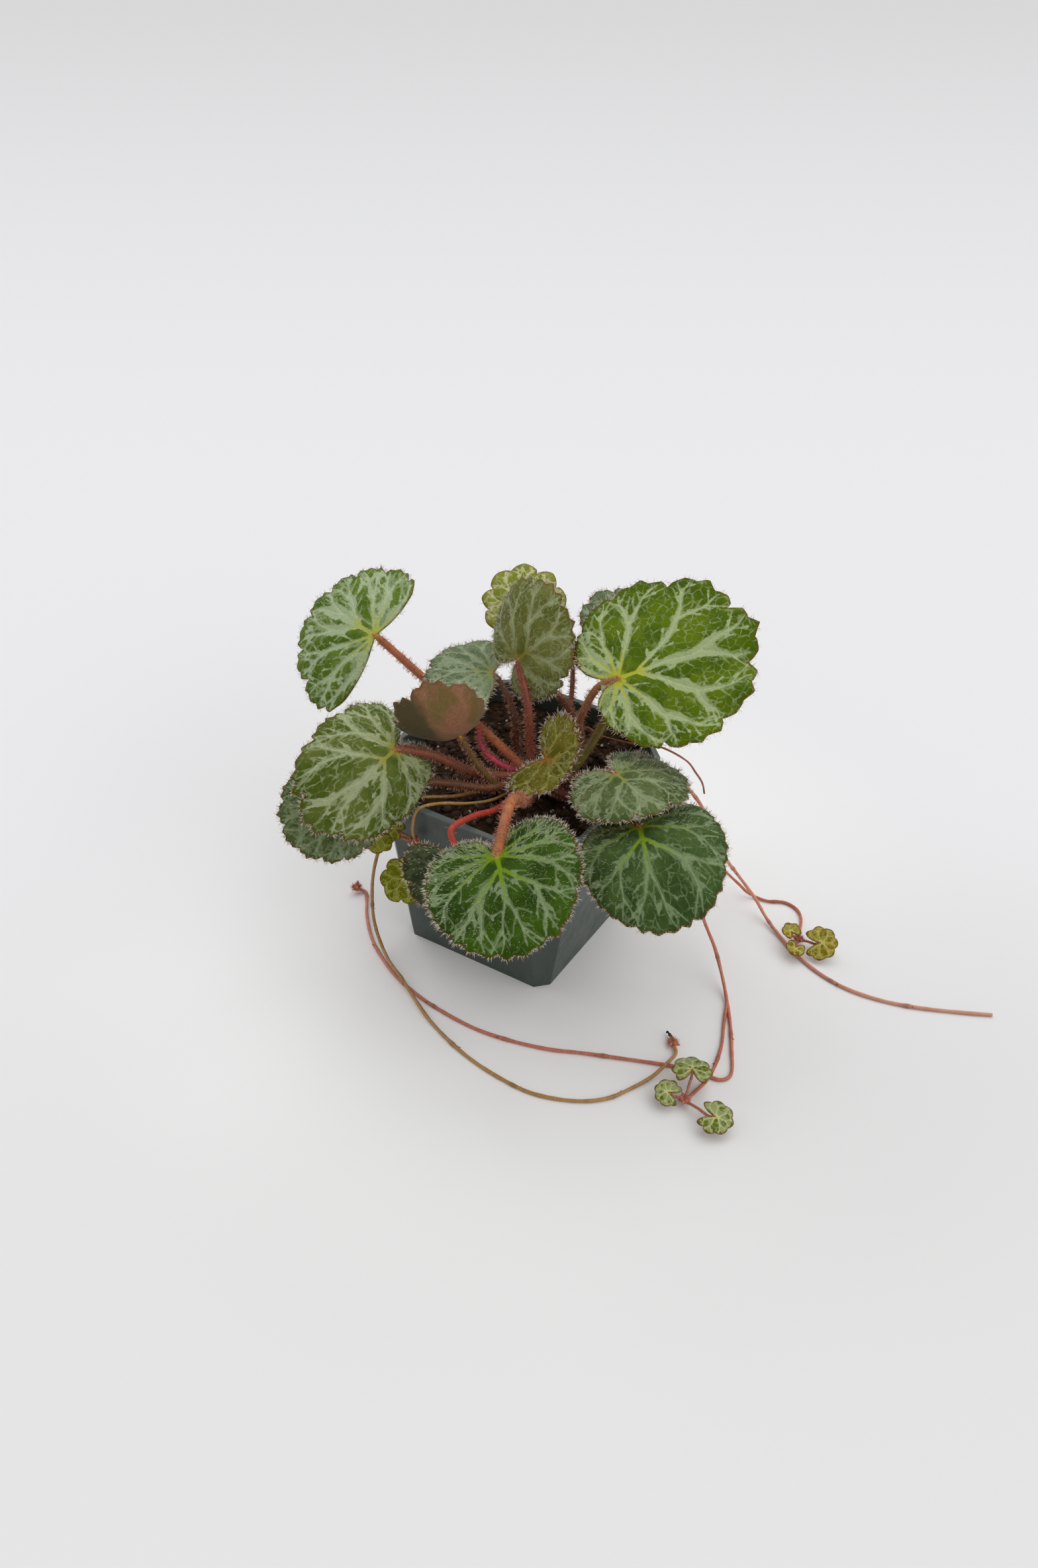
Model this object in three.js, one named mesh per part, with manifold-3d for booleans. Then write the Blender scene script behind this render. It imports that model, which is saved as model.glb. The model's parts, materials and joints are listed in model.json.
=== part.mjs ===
// Strawberry saxifrage in a square nursery pot, in millimetres, +Z up.
// The pot stands at the origin with its sides along X and Y. Every leaf blade, the crown with
// its leaf stalks, each runner, the soil and the pot are separate solids.
import * as THREE from 'three';
import { mergeVertices } from 'three/addons/utils/BufferGeometryUtils.js';
import Module from 'manifold-3d';

const wasm = await Module();
wasm.setup();

// Pot
const POT_HEIGHT = 76.3;
const POT_TOP_SIDE = 89;
const POT_BASE_SIDE = 63.6;
const POT_TOP_CHAMFER = 16.7;
const POT_BASE_CHAMFER = 4.5;
const POT_WALL = 1.4;
const POT_FLOOR = 2;
const RIM_DEPTH = 3;
const RIM_STEP = 0.5;
const DRAIN_RADIUS = 4;
const DRAIN_OFFSET = 20;
const DRAIN_SIDES = 16;

// Soil
const SOIL_LEVEL = 70;
const SOIL_RINGS = [0.25, 0.5, 0.72, 0.9, 1];
const LONG_SIDE_STEPS = 6;
const SHORT_SIDE_STEPS = 2;

// Plant
const GAP = 0.3;
const SOIL_GAP = 1.2 * GAP;
const PATCH_TURN = 160;
const CROWN = new THREE.Vector3(10, -4, SOIL_LEVEL + 2);
const CROWN_RADIUS = 5;
const CROWN_ROOT = 14;
const CROWN_SIDES = 12;
const CROWN_TAPER = 0.8;
const STALK_START = 0.3;
const BUD_SHARE = 0.95;
const BUD_STRETCH = 0.8;
const YOUNG_STALK_RADIUS = 1.3;
const BLADE_THICKNESS = 0.8;
const BLADE_RINGS = [0.5, 1];
const POINTS_PER_LOBE = 3;
const STALK_SIDES = 6;
const STALK_STEP = 9;
const RUNNER_SIDES = 6;
const RUNNER_RADIUS = 0.7;
const RUNNER_STEP = 7;
const DRY_RADIUS = 0.6;
const HUB_RADIUS = 1.7;
const SMALL_STALK_RADIUS = 0.75 * RUNNER_RADIUS;
const SMALL_STALK_STEP = 3;
const SMALL_STALK_RISE = 0.4;
const SMALL_STALK_SET_BACK = 0.25;
const SMALL_STALK_DROP = 1.2;
const END_BUD_RADIUS = 1.4;
const END_BUD_LEAF = 3.6;
const END_BUD_TURNS = [0, 125, 245];
// Crowded cuts leave sliver faces; corners closer than this to a plain face are dropped.
const SLIVER = 0.02;

const colours = {
  pot: 0x3d4f4c,
  soil: 0x2b211b,
  stalk: 0x8a4a35,
  runner: 0xb0604a,
  dryRunner: 0x8a5a40,
  freshLeaf: 0x55802f,
  greyLeaf: 0x4a6a4e,
  darkLeaf: 0x35503a,
  youngLeaf: 0x7b8c34,
  underside: 0x7a4a3c,
};

const DEG = Math.PI / 180;

function v(x, y, z) {
  return new THREE.Vector3(x, y, z);
}

function material(colour, roughness = 0.6) {
  return new THREE.MeshStandardMaterial({ color: colour, roughness, metalness: 0, side: THREE.FrontSide });
}

function geometryOf(points, triangles) {
  const geometry = new THREE.BufferGeometry();
  const flat = points.flatMap((p) => [p.x, p.y, p.z]);
  geometry.setAttribute('position', new THREE.Float32BufferAttribute(flat, 3));
  geometry.setIndex(triangles.flat());
  return geometry;
}

function solidOf(geometry) {
  const bare = geometry.clone();
  bare.deleteAttribute('normal');
  bare.deleteAttribute('uv');
  const merged = mergeVertices(bare, 1e-4);
  const vertProperties = new Float32Array(merged.attributes.position.array);
  const triVerts = new Uint32Array(merged.index.array);
  return new wasm.Manifold(new wasm.Mesh({ numProp: 3, vertProperties, triVerts }));
}

function geometryFrom(solid) {
  const mesh = solid.getMesh();
  const geometry = new THREE.BufferGeometry();
  geometry.setAttribute('position', new THREE.BufferAttribute(new Float32Array(mesh.vertProperties), 3));
  geometry.setIndex(new THREE.BufferAttribute(new Uint32Array(mesh.triVerts), 1));
  geometry.computeVertexNormals();
  return geometry;
}

function union(solids) {
  return solids.reduce((sum, solid) => sum.add(solid));
}

function cut(solid, tools) {
  return tools.reduce((rest, tool) => rest.subtract(tool), solid);
}

// The piece left after a cut is the largest one; slivers beyond a blade go.
function largest(solid) {
  const pieces = solid.decompose();
  return pieces.reduce((best, piece) => (piece.volume() > best.volume() ? piece : best));
}

// Outline of the pot at one level: a square whose corners are cut off.
function potOutline(side, chamfer) {
  const h = side / 2;
  const c = chamfer;
  return [[h - c, -h], [h, c - h], [h, h - c], [h - c, h], [c - h, h], [-h, h - c], [-h, c - h], [c - h, -h]];
}

// Side length and chamfer of the pot's outside at height z, drawn in by an inset.
function potSection(z, inset) {
  const t = z / POT_HEIGHT;
  const side = POT_BASE_SIDE + (POT_TOP_SIDE - POT_BASE_SIDE) * t;
  const chamfer = POT_BASE_CHAMFER + (POT_TOP_CHAMFER - POT_BASE_CHAMFER) * t;
  const shrunk = inset * (2 - Math.SQRT2);
  return potOutline(side - 2 * inset, chamfer - shrunk);
}

// Skin through a stack of loops of equal length, closed by a fan at each end.
function loft(loops) {
  const n = loops[0].length;
  const points = loops.flat();
  const triangles = [];
  for (let k = 0; k + 1 < loops.length; k += 1) {
    for (let i = 0; i < n; i += 1) {
      const a = k * n + i;
      const b = k * n + ((i + 1) % n);
      triangles.push([a, b, b + n], [a, b + n, a + n]);
    }
  }
  const last = (loops.length - 1) * n;
  for (let i = 1; i + 1 < n; i += 1) {
    triangles.push([0, i + 1, i], [last, last + i, last + i + 1]);
  }
  return geometryOf(points, triangles);
}

function atHeight(outline, z) {
  return outline.map(([x, y]) => v(x, y, z));
}

function potGeometry() {
  const rimInset = POT_WALL + RIM_STEP;
  const shell = loft([
    atHeight(potSection(0, 0), 0),
    atHeight(potSection(POT_HEIGHT - RIM_DEPTH, RIM_STEP), POT_HEIGHT - RIM_DEPTH),
    atHeight(potSection(POT_HEIGHT - RIM_DEPTH + RIM_STEP, 0), POT_HEIGHT - RIM_DEPTH + RIM_STEP),
    atHeight(potSection(POT_HEIGHT, 0), POT_HEIGHT),
    atHeight(potSection(POT_HEIGHT, rimInset), POT_HEIGHT),
    atHeight(potSection(POT_FLOOR, rimInset), POT_FLOOR),
  ]);
  const drains = [];
  for (const x of [-DRAIN_OFFSET, DRAIN_OFFSET]) {
    for (const y of [-DRAIN_OFFSET, DRAIN_OFFSET]) {
      const drain = new THREE.CylinderGeometry(DRAIN_RADIUS, DRAIN_RADIUS, 4 * POT_FLOOR, DRAIN_SIDES);
      drain.rotateX(Math.PI / 2);
      drain.translate(x, y, 0);
      drains.push(solidOf(drain));
    }
  }
  return geometryFrom(cut(solidOf(shell), drains));
}

// Height of the potting mix: a low mound at the crown, lumps, and a heap at the back corner.
function soilHeight(x, y) {
  const mound = 1.2 * Math.exp(-(((x - CROWN.x) ** 2 + (y - CROWN.y) ** 2) / 350));
  const lumps = 0.5 * Math.sin(0.42 * x + 1.3) * Math.sin(0.37 * y) + 0.35 * Math.sin(0.9 * x + 0.7 * y);
  const heap = 3.5 * Math.exp(-(((x - 14) ** 2 + (y - 34) ** 2) / 160));
  return SOIL_LEVEL - 1.5 + mound + lumps + heap;
}

// The pot's inner outline, each side split into short steps.
function steppedOutline(outline) {
  const points = [];
  for (let i = 0; i < outline.length; i += 1) {
    const a = outline[i];
    const b = outline[(i + 1) % outline.length];
    const steps = i % 2 === 1 ? LONG_SIDE_STEPS : SHORT_SIDE_STEPS;
    for (let k = 0; k < steps; k += 1) {
      const t = k / steps;
      points.push([a[0] + (b[0] - a[0]) * t, a[1] + (b[1] - a[1]) * t]);
    }
  }
  return points;
}

function soilGeometry() {
  const inset = POT_WALL + RIM_STEP + GAP;
  const low = steppedOutline(potSection(POT_FLOOR + GAP, inset));
  const high = steppedOutline(potSection(SOIL_LEVEL - 3, inset));
  const n = high.length;
  const points = atHeight(low, POT_FLOOR + GAP);
  for (const f of [...SOIL_RINGS].reverse()) {
    for (const [x, y] of high) {
      points.push(v(f * x, f * y, soilHeight(f * x, f * y)));
    }
  }
  const top = points.length;
  points.push(v(0, 0, soilHeight(0, 0)));
  const bottom = points.length;
  points.push(v(0, 0, POT_FLOOR + GAP));
  const triangles = [];
  for (let k = 0; k < SOIL_RINGS.length; k += 1) {
    for (let i = 0; i < n; i += 1) {
      const a = k * n + i;
      const b = k * n + ((i + 1) % n);
      triangles.push([a, b, b + n], [a, b + n, a + n]);
    }
  }
  const last = SOIL_RINGS.length * n;
  for (let i = 0; i < n; i += 1) {
    const j = (i + 1) % n;
    triangles.push([bottom, j, i], [last + i, last + j, top]);
  }
  return geometryOf(points, triangles);
}

// The three directions of a leaf: toward its tip, toward its left side, and out of its upper face.
function leafAxes(leaf) {
  const heading = leaf.heading * DEG;
  const pitch = leaf.pitch * DEG;
  const roll = leaf.roll * DEG;
  const tip = v(Math.cos(pitch) * Math.cos(heading), Math.cos(pitch) * Math.sin(heading), -Math.sin(pitch));
  const level = v(-Math.sin(heading), Math.cos(heading), 0);
  const across = tip.clone().cross(level);
  const left = level.clone().multiplyScalar(Math.cos(roll)).addScaledVector(across, Math.sin(roll));
  const face = tip.clone().cross(left);
  return { tip, left, face };
}

// How far the margin lies from the leaf's joint in direction a (0 at the tip), with its lobes.
function marginReach(leaf, a) {
  const half = Math.PI - leaf.sinus * DEG;
  const round = 0.84 + leaf.long * Math.cos(a) + leaf.square * Math.cos(2 * a) + leaf.skew * Math.sin(a);
  const shoulder = Math.min(1, (half - Math.abs(a)) / (26 * DEG));
  const ends = 0.25 + 0.75 * Math.sin(shoulder * Math.PI / 2);
  const lobe = Math.abs(Math.sin((a + half) / (2 * half) * leaf.lobes * Math.PI)) ** 0.6;
  return leaf.size * round * ends * (1 - leaf.lobeDepth * (1 - lobe));
}

// A point of the blade's middle surface, r from the joint in direction a.
function bladePoint(leaf, axes, r, a) {
  const [fore, side, saddle, twist] = leaf.curl;
  const bend = -leaf.dome + fore * Math.cos(a) + side * Math.sin(a)
    + saddle * Math.cos(2 * a) + twist * Math.sin(2 * a);
  const lift = (r * r / leaf.size) * bend;
  return leaf.joint.clone()
    .addScaledVector(axes.tip, r * Math.cos(a))
    .addScaledVector(axes.left, r * Math.sin(a))
    .addScaledVector(axes.face, lift);
}

function bladeNormal(leaf, axes, r, a) {
  const step = 0.02 * leaf.size;
  const out = Math.max(r, step);
  const along = bladePoint(leaf, axes, out + step, a).sub(bladePoint(leaf, axes, out - step, a));
  const turn = step / out;
  const around = bladePoint(leaf, axes, out, a + turn).sub(bladePoint(leaf, axes, out, a - turn));
  return along.cross(around).normalize();
}

// A lobed blade of even thickness, split into triangles alike on both faces.
function bladeGeometry(leaf, thickness) {
  const axes = leafAxes(leaf);
  const half = Math.PI - leaf.sinus * DEG;
  const count = leaf.lobes * POINTS_PER_LOBE;
  const faces = [[], []];
  const sides = [thickness / 2, -thickness / 2];
  for (let s = 0; s < 2; s += 1) {
    faces[s].push(leaf.joint.clone().addScaledVector(axes.face, sides[s]));
    for (const f of BLADE_RINGS) {
      for (let i = 0; i <= count; i += 1) {
        const a = -half + (2 * half * i) / count;
        const r = f * marginReach(leaf, a);
        const point = bladePoint(leaf, axes, r, a);
        faces[s].push(point.addScaledVector(bladeNormal(leaf, axes, r, a), sides[s]));
      }
    }
  }
  const row = count + 1;
  const upper = [];
  for (let i = 0; i < count; i += 1) {
    upper.push([0, 1 + i, 2 + i]);
    for (let k = 0; k + 1 < BLADE_RINGS.length; k += 1) {
      const a = 1 + k * row + i;
      upper.push([a, a + row, a + row + 1], [a, a + row + 1, a + 1]);
    }
  }
  const n = faces[0].length;
  const lower = upper.map(([a, b, c]) => [a + n, c + n, b + n]);
  const edge = [0];
  for (let k = 0; k < BLADE_RINGS.length; k += 1) {
    edge.push(1 + k * row);
  }
  const outer = 1 + (BLADE_RINGS.length - 1) * row;
  for (let i = 1; i <= count; i += 1) {
    edge.push(outer + i);
  }
  for (let k = BLADE_RINGS.length - 2; k >= 0; k -= 1) {
    edge.push(1 + k * row + count);
  }
  const walls = [];
  edge.forEach((a, i) => {
    const b = edge[(i + 1) % edge.length];
    walls.push([a, a + n, b + n], [a, b + n, b]);
  });
  return geometryOf([...faces[0], ...faces[1]], [...upper, ...lower, ...walls]);
}

// A round stem along a smooth curve through its points.
function stem(points, radius, sides, stepLength) {
  const curve = new THREE.CatmullRomCurve3(points, false, 'centripetal');
  const shape = new THREE.Shape();
  for (let i = 0; i < sides; i += 1) {
    const a = (2 * Math.PI * i) / sides;
    const x = radius * Math.cos(a);
    const y = radius * Math.sin(a);
    if (i === 0) {
      shape.moveTo(x, y);
    } else {
      shape.lineTo(x, y);
    }
  }
  shape.closePath();
  const steps = Math.max(3, Math.round(curve.getLength() / stepLength));
  return new THREE.ExtrudeGeometry(shape, { steps, bevelEnabled: false, extrudePath: curve });
}

function knob(centre, radius, stretch = 1) {
  const ball = new THREE.IcosahedronGeometry(radius, 1);
  ball.scale(1, 1, stretch);
  ball.translate(centre.x, centre.y, centre.z);
  return solidOf(ball);
}

// A leaf's values, with those that most leaves share. Its patch is the size, against the blade,
// of the piece that closes its notch where a stalk is cut clear of it.
function leafOf(values) {
  return {
    long: 0.12, square: 0, skew: 0, curl: [0, 0, 0, 0], sinus: 14, lobes: 9, lobeDepth: 0.07, patch: 0.3,
    ...values,
  };
}

// The leaves of the rosette, each where its stalk joins it, with the stalk's way from the crown.
const rosette = [
  leafOf({
    name: 'blade_far_left', colour: colours.freshLeaf, joint: v(-64.2, 2.4, 106),
    heading: 178, pitch: -13, roll: -40.5, size: 37.5, dome: 0.27, long: 0.02, skew: 0.1, sinus: 74,
    patch: 0.5, stalkRadius: 1.6, way: [v(-15.3, -1, 84.5), v(-43, 2.6, 94.6)],
  }),
  leafOf({
    name: 'blade_left', colour: colours.freshLeaf, joint: v(-24.3, -41.5, 96),
    heading: 272, pitch: 3, roll: -42, size: 29.5, dome: 0.55, long: 0.15, square: 0.13, skew: -0.06,
    curl: [-0.02, 0.04, -0.05, -0.03], stalkRadius: 1.7, way: [v(-5.4, -18.3, 78.5), v(-17.8, -30.6, 90)],
  }),
  leafOf({
    name: 'blade_low_left', colour: colours.greyLeaf, joint: v(-35.2, -56.1, 75.6),
    heading: 262, pitch: 22, roll: -31, size: 22.5, dome: 0.33, skew: -0.2, sinus: 70,
    stalkRadius: 1.4, way: [v(1.9, -20, 76), v(-15, -33, 80), v(-23, -43.5, 81.5)],
  }),
  leafOf({
    name: 'blade_back_left', colour: colours.greyLeaf, joint: v(-17.3, 11.3, 101),
    heading: 205, pitch: -5, roll: -6, size: 26, dome: 0.25, long: 0.14, skew: -0.2, sinus: 76,
    stalkRadius: 1.2, way: [v(-1.7, 2.8, 76), v(-4.4, 4.5, 92)],
  }),
  leafOf({
    name: 'blade_centre', colour: colours.greyLeaf, joint: v(-5.9, 9.6, 111.7),
    heading: 4, pitch: -51, roll: 64, size: 25.6, dome: 0.37, long: 0.15, square: -0.04, skew: 0.22,
    curl: [0.02, 0, 0, 0.05], stalkRadius: 1.5, way: [v(4.4, 1.8, 80), v(2.1, 3.5, 99)],
  }),
  leafOf({
    name: 'blade_back', colour: colours.youngLeaf, joint: v(-33.5, 58, 99.5),
    heading: 122, pitch: -40, roll: 0, size: 19.5, dome: 0.1, lobes: 9, lobeDepth: 0.12,
    stalkRadius: 1.1, way: [v(17, 17.5, 80), v(6.9, 22.3, 90), v(-0.8, 25.8, 92)],
  }),
  leafOf({
    name: 'blade_right', colour: colours.freshLeaf, joint: v(33.1, 13, 115.3),
    heading: 43, pitch: -16.5, roll: 27, size: 35.2, dome: 0.02, long: 0.58, square: 0.03, skew: 0.04,
    curl: [0.02, 0, 0.04, -0.04], lobes: 11, stalkRadius: 1.5, way: [v(19, 1.5, 86), v(27.7, 9.2, 112)],
  }),
  leafOf({
    name: 'blade_back_right', colour: colours.greyLeaf, joint: v(15.7, 59.4, 104),
    heading: 165, pitch: -26, roll: 0, size: 24, dome: 0.1,
    stalkRadius: 1.6, way: [v(20.9, -0.7, 77), v(23.6, 8.2, 82), v(24, 30, 95)],
  }),
  leafOf({
    name: 'blade_curled', colour: colours.underside, joint: v(-8.7, -24.2, 97.7),
    heading: 289, pitch: -41, roll: 34, size: 20, dome: -0.67, long: 0.2, square: 0.09, skew: -0.13,
    stalkRadius: 1.2, way: [v(2.5, -16, 75), v(-1.5, -20.5, 82)],
  }),
  leafOf({
    name: 'blade_young_centre', colour: colours.youngLeaf, joint: v(18.5, -11.2, 90),
    heading: 347, pitch: -8, roll: 34, size: 16, dome: 0, long: 0.05, square: -0.2,
    curl: [0, 0, -0.25, 0], sinus: 30, lobes: 7, stalkRadius: 1, way: [v(14, -7, 80)],
  }),
  leafOf({
    name: 'blade_right_middle', colour: colours.greyLeaf, joint: v(47.2, -11.4, 95),
    heading: 334, pitch: -7, roll: 8, size: 24.3, dome: 0.33, long: 0.13, square: -0.02, skew: 0.11,
    curl: [0, 0, 0.11, -0.04], stalkRadius: 1.4, way: [v(24, -6, 79), v(38, -9, 88)],
  }),
  leafOf({
    name: 'blade_right_low', colour: colours.freshLeaf, joint: v(62.7, -22.1, 86),
    heading: 307, pitch: -3, roll: 14, size: 30.4, dome: 0.42, long: 0.2, square: 0.05, skew: 0.07,
    curl: [-0.02, 0, -0.13, -0.02], stalkRadius: 1.5, way: [v(26, -11, 77), v(45, -15, 82)],
  }),
  leafOf({
    name: 'blade_front', colour: colours.freshLeaf, joint: v(33.1, -64.9, 90.2),
    heading: 311, pitch: -4, roll: 16, size: 34.5, dome: 0.28, long: 0.09, square: 0.09,
    curl: [0, 0.02, -0.12, 0], lobes: 11, stalkRadius: 1.9, way: [v(16.5, -19, 77), v(26.5, -46.6, 96)],
  }),
  leafOf({
    name: 'blade_front_low', colour: colours.darkLeaf, joint: v(13.4, -55.4, 72),
    heading: 309, pitch: 60, roll: 4, size: 21.5, dome: 0.15, skew: -0.14, sinus: 50,
    stalkRadius: 1.2, way: [v(9, -27.6, 74.5), v(7.6, -41, 79.5), v(6.4, -52.6, 80.5)],
  }),
  leafOf({
    name: 'blade_small_back', colour: colours.underside, joint: v(-3, 44, 94),
    heading: 132, pitch: -50, roll: 0, size: 8, dome: 0.2, lobes: 7, patch: 0.5,
    stalkRadius: 1, way: [v(5, 20, 78), v(3.7, 31.6, 85)],
  }),
];

// The first point of a stalk, inside the crown, on the side where the stalk leaves it.
function crownStart(toward, radius) {
  const out = v(toward.x - CROWN.x, toward.y - CROWN.y, 0).normalize();
  return CROWN.clone().addScaledVector(out, CROWN_RADIUS * STALK_START).setZ(CROWN.z + radius);
}

function stalkSolid(leaf, extra) {
  const radius = leaf.stalkRadius + extra;
  const points = [crownStart(leaf.way[0], leaf.stalkRadius), ...leaf.way, leaf.joint];
  return solidOf(stem(points, radius, STALK_SIDES, STALK_STEP));
}

function crownSolid(extra) {
  const root = new THREE.CylinderGeometry(
    CROWN_RADIUS + extra, CROWN_RADIUS * CROWN_TAPER + extra, CROWN_ROOT + 2 * extra, CROWN_SIDES);
  root.rotateX(Math.PI / 2);
  root.translate(CROWN.x, CROWN.y, CROWN.z - CROWN_ROOT / 2 + 0.5);
  const bud = knob(CROWN.clone().setZ(CROWN.z + 1), CROWN_RADIUS * BUD_SHARE + extra, BUD_STRETCH);
  const youngWay = [v(-4.6, -8.2, 78), v(-12.6, -5.2, 81), v(-14.7, -2.8, 85)];
  const youngStart = crownStart(v(-10, -8, 0), YOUNG_STALK_RADIUS);
  const young = stem([youngStart, ...youngWay], YOUNG_STALK_RADIUS + extra, STALK_SIDES, STALK_STEP);
  return union([solidOf(root), bud, solidOf(young), ...rosette.map((leaf) => stalkSolid(leaf, extra))]);
}

// Leaves of the plantlets, each with the hub that its short stalk grows from.
const hubs = {
  hanging: v(-14.9, -44.9, 61),
  right: v(101.3, 42.7, 2),
  front: v(101.8, -52.9, 2.2),
};

function smallLeaf(hub, number, joint, values) {
  return leafOf({
    name: `plantlet_${hub}_blade_${number}`, hub, joint, colour: colours.youngLeaf,
    dome: 0.1, lobes: 7, lobeDepth: 0.12, patch: 0.55, ...values,
  });
}

const plantletLeaves = [
  smallLeaf('hanging', 1, v(-18.2, -46.5, 44.5), {
    heading: 248, pitch: 41, roll: -35, size: 10.3, long: 0.2, patch: 0.25,
  }),
  smallLeaf('hanging', 2, v(-27, -50.3, 62), { heading: 239, pitch: 25, roll: -31, size: 7.5 }),
  smallLeaf('hanging', 3, v(-21.5, -46.6, 64.8), { heading: 193, pitch: -19, roll: -42, size: 4, lobes: 5 }),
  smallLeaf('right', 1, v(110.3, 41.6, 6), { heading: 24, pitch: -8, roll: 31, size: 8 }),
  smallLeaf('right', 2, v(98.4, 41.4, 6), {
    heading: 150, pitch: -15, roll: -5, size: 4.5, dome: -0.3, lobes: 5, colour: colours.underside,
  }),
  smallLeaf('right', 3, v(103, 35.8, 4.6), { heading: 275, pitch: 4, roll: -14, size: 4.6, lobes: 5 }),
  smallLeaf('front', 1, v(99.5, -43.5, 8), { heading: 115, pitch: 6, roll: 3, size: 8.5 }),
  smallLeaf('front', 2, v(96.4, -54.8, 5), { heading: 191, pitch: -12, roll: -16, size: 6 }),
  smallLeaf('front', 3, v(115, -56.4, 5.6), { heading: 10, pitch: 6, roll: 10, size: 7.8 }),
];

// Height of a runner's axis where it lies on the surface.
const LIE = RUNNER_RADIUS + 0.05;
// Height of its axis where it lies on top of another runner.
const OVER = LIE + 2 * RUNNER_RADIUS + 2 * GAP;

function runnerSolid(points, radius = RUNNER_RADIUS, stepLength = RUNNER_STEP) {
  return solidOf(stem(points, radius, RUNNER_SIDES, stepLength));
}

// A plantlet's knot and the short stalks that rise from it to just behind and under its leaves.
function plantletStalks(hub) {
  const centre = hubs[hub];
  const stalks = plantletLeaves.filter((leaf) => leaf.hub === hub).map((leaf) => {
    const { face, tip } = leafAxes(leaf);
    const under = leaf.joint.clone()
      .addScaledVector(tip, -SMALL_STALK_SET_BACK * leaf.size)
      .addScaledVector(face, -SMALL_STALK_DROP);
    const middle = centre.clone().lerp(under, 0.5).add(v(0, 0, SMALL_STALK_RISE));
    return runnerSolid([centre, middle, under, leaf.joint], SMALL_STALK_RADIUS, SMALL_STALK_STEP);
  });
  return [knob(centre, HUB_RADIUS), ...stalks];
}

// Runners, each named list a way from the crown over the rim and down to the surface.
const frontRunner = [
  v(3, -11, 72.8), v(-2, -18, 72.6), v(-8, -27, 73), v(-15, -37, 76), v(-19.5, -43.5, 78.2),
  v(-21.5, -46.6, 77), v(-24, -46.4, 69), v(-28, -44.4, 60), v(-31.5, -43.7, 52), v(-34, -45.5, 40),
  v(-36.7, -44.5, 25),
  v(-36.9, -44.2, 12), v(-33.5, -46.2, 6), v(-24.8, -51.8, 3), v(-15, -57, OVER), v(-4, -63, 1.6),
  v(6, -68, 0.9), v(24.2, -74.3, LIE), v(40.9, -77, LIE), v(55.4, -76.9, LIE), v(70.5, -71.3, LIE),
  v(78.5, -64.5, LIE), v(82.8, -56.7, LIE), v(86.6, -48.5, 1.3), v(88.8, -40.1, OVER), v(88.5, -34, 1.5),
  v(85, -30, LIE),
];
const rightRunner = [
  v(17, -3, 73.6), v(28, 2, 74), v(38, 6, 77.6), v(47, 8, 78.8), v(58, 11, 68), v(68, 11, 45),
  v(75, 10.5, 25), v(80.9, 10.7, 12), v(86.6, 6.1, 5), v(89.6, 2.8, 2.4), v(92.6, -1.3, 1.1),
  v(97, -8, LIE), v(104, -20.6, LIE), v(109.5, -33, LIE), v(107.5, -36.4, LIE), v(98, -37.2, LIE),
  v(88.8, -40.1, LIE), v(70.7, -47.1, LIE), v(59, -51.8, LIE),
  v(49, -56.2, LIE), v(33.5, -60.3, LIE), v(19.3, -61.9, LIE), v(-2.6, -59.9, LIE), v(-19.4, -55.2, LIE),
  v(-28.7, -50.4, LIE), v(-39.1, -43.5, LIE), v(-49.1, -33.5, LIE), v(-54.5, -26.3, LIE),
  v(-57.8, -22.7, LIE),
  v(-61.5, -23.8, 1.6),
];
const rightBranch = [
  v(92.6, -1.3, 1.1), v(96, -10.5, LIE), v(100.8, -22.8, LIE), v(103.5, -37.5, LIE), v(102.5, -45.7, LIE),
  hubs.front,
];
const backRunner = [
  v(17, 0, 73.6), v(28, 10, 74), v(38, 18, 77.2), v(47, 22, 78.8), v(58, 31, 62), v(66, 37, 42),
  v(68.9, 40.6, 30), v(72.5, 46.9, 18), v(79.3, 49.9, 7), v(85.2, 47.4, 2.6), v(92.2, 43.1, 1.1),
  v(103.5, 36.2, LIE), v(116.4, 31.1, LIE), v(127.5, 29.4, LIE), v(139.5, 30.4, LIE), v(151.9, 33.8, LIE),
  v(169.2, 41.2, LIE),
  v(177.6, 45.3, LIE),
];
const middleRunner = [
  v(17, -1.5, 76), v(28, 6, 76.6), v(38, 12.5, 78.4), v(47, 15.5, 79), v(56, 27, 60), v(60, 38, 35),
  v(64.7, 51.3, 14), v(69.4, 55.7, 6), v(72.4, 57, 2.6), v(75.8, 57.8, 1.1), v(81, 58.5, LIE),
  v(86.9, 61.3, LIE), v(92.6, 60.2, LIE), v(96.4, 56.2, LIE), v(99.4, 47.7, LIE), hubs.right,
];
const hangingRunner = [
  v(7, -11, 73), v(4, -22, 73), v(-1, -32.5, 76), v(-7.5, -40, 78.2), v(-11.5, -46.2, 78.4),
  v(-14, -46.9, 70), hubs.hanging,
];
const dryRunner = [
  v(7, 24, 64), v(8.5, 26.5, 73), v(12.5, 27.5, 78), v(22.8, 23.1, 80.5), v(35.8, 22.6, 82.5),
  v(44.3, 26.1, 82.5), v(53.9, 29.4, 78), v(56, 34.4, 70), v(56.7, 39.6, 62), v(56.4, 42.9, 55),
];

// The bud at the far end of the right runner, with its three first leaves.
const endBud = v(-61.5, -23.8, 1.7);

function budBlades(centre) {
  const joint = centre.clone().add(v(0, 0, BLADE_THICKNESS));
  return END_BUD_TURNS.map((heading) => {
    const leaf = leafOf({ joint, heading, pitch: -28, roll: 10, size: END_BUD_LEAF, dome: 0.1, lobes: 5 });
    return solidOf(bladeGeometry(leaf, BLADE_THICKNESS));
  });
}

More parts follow.
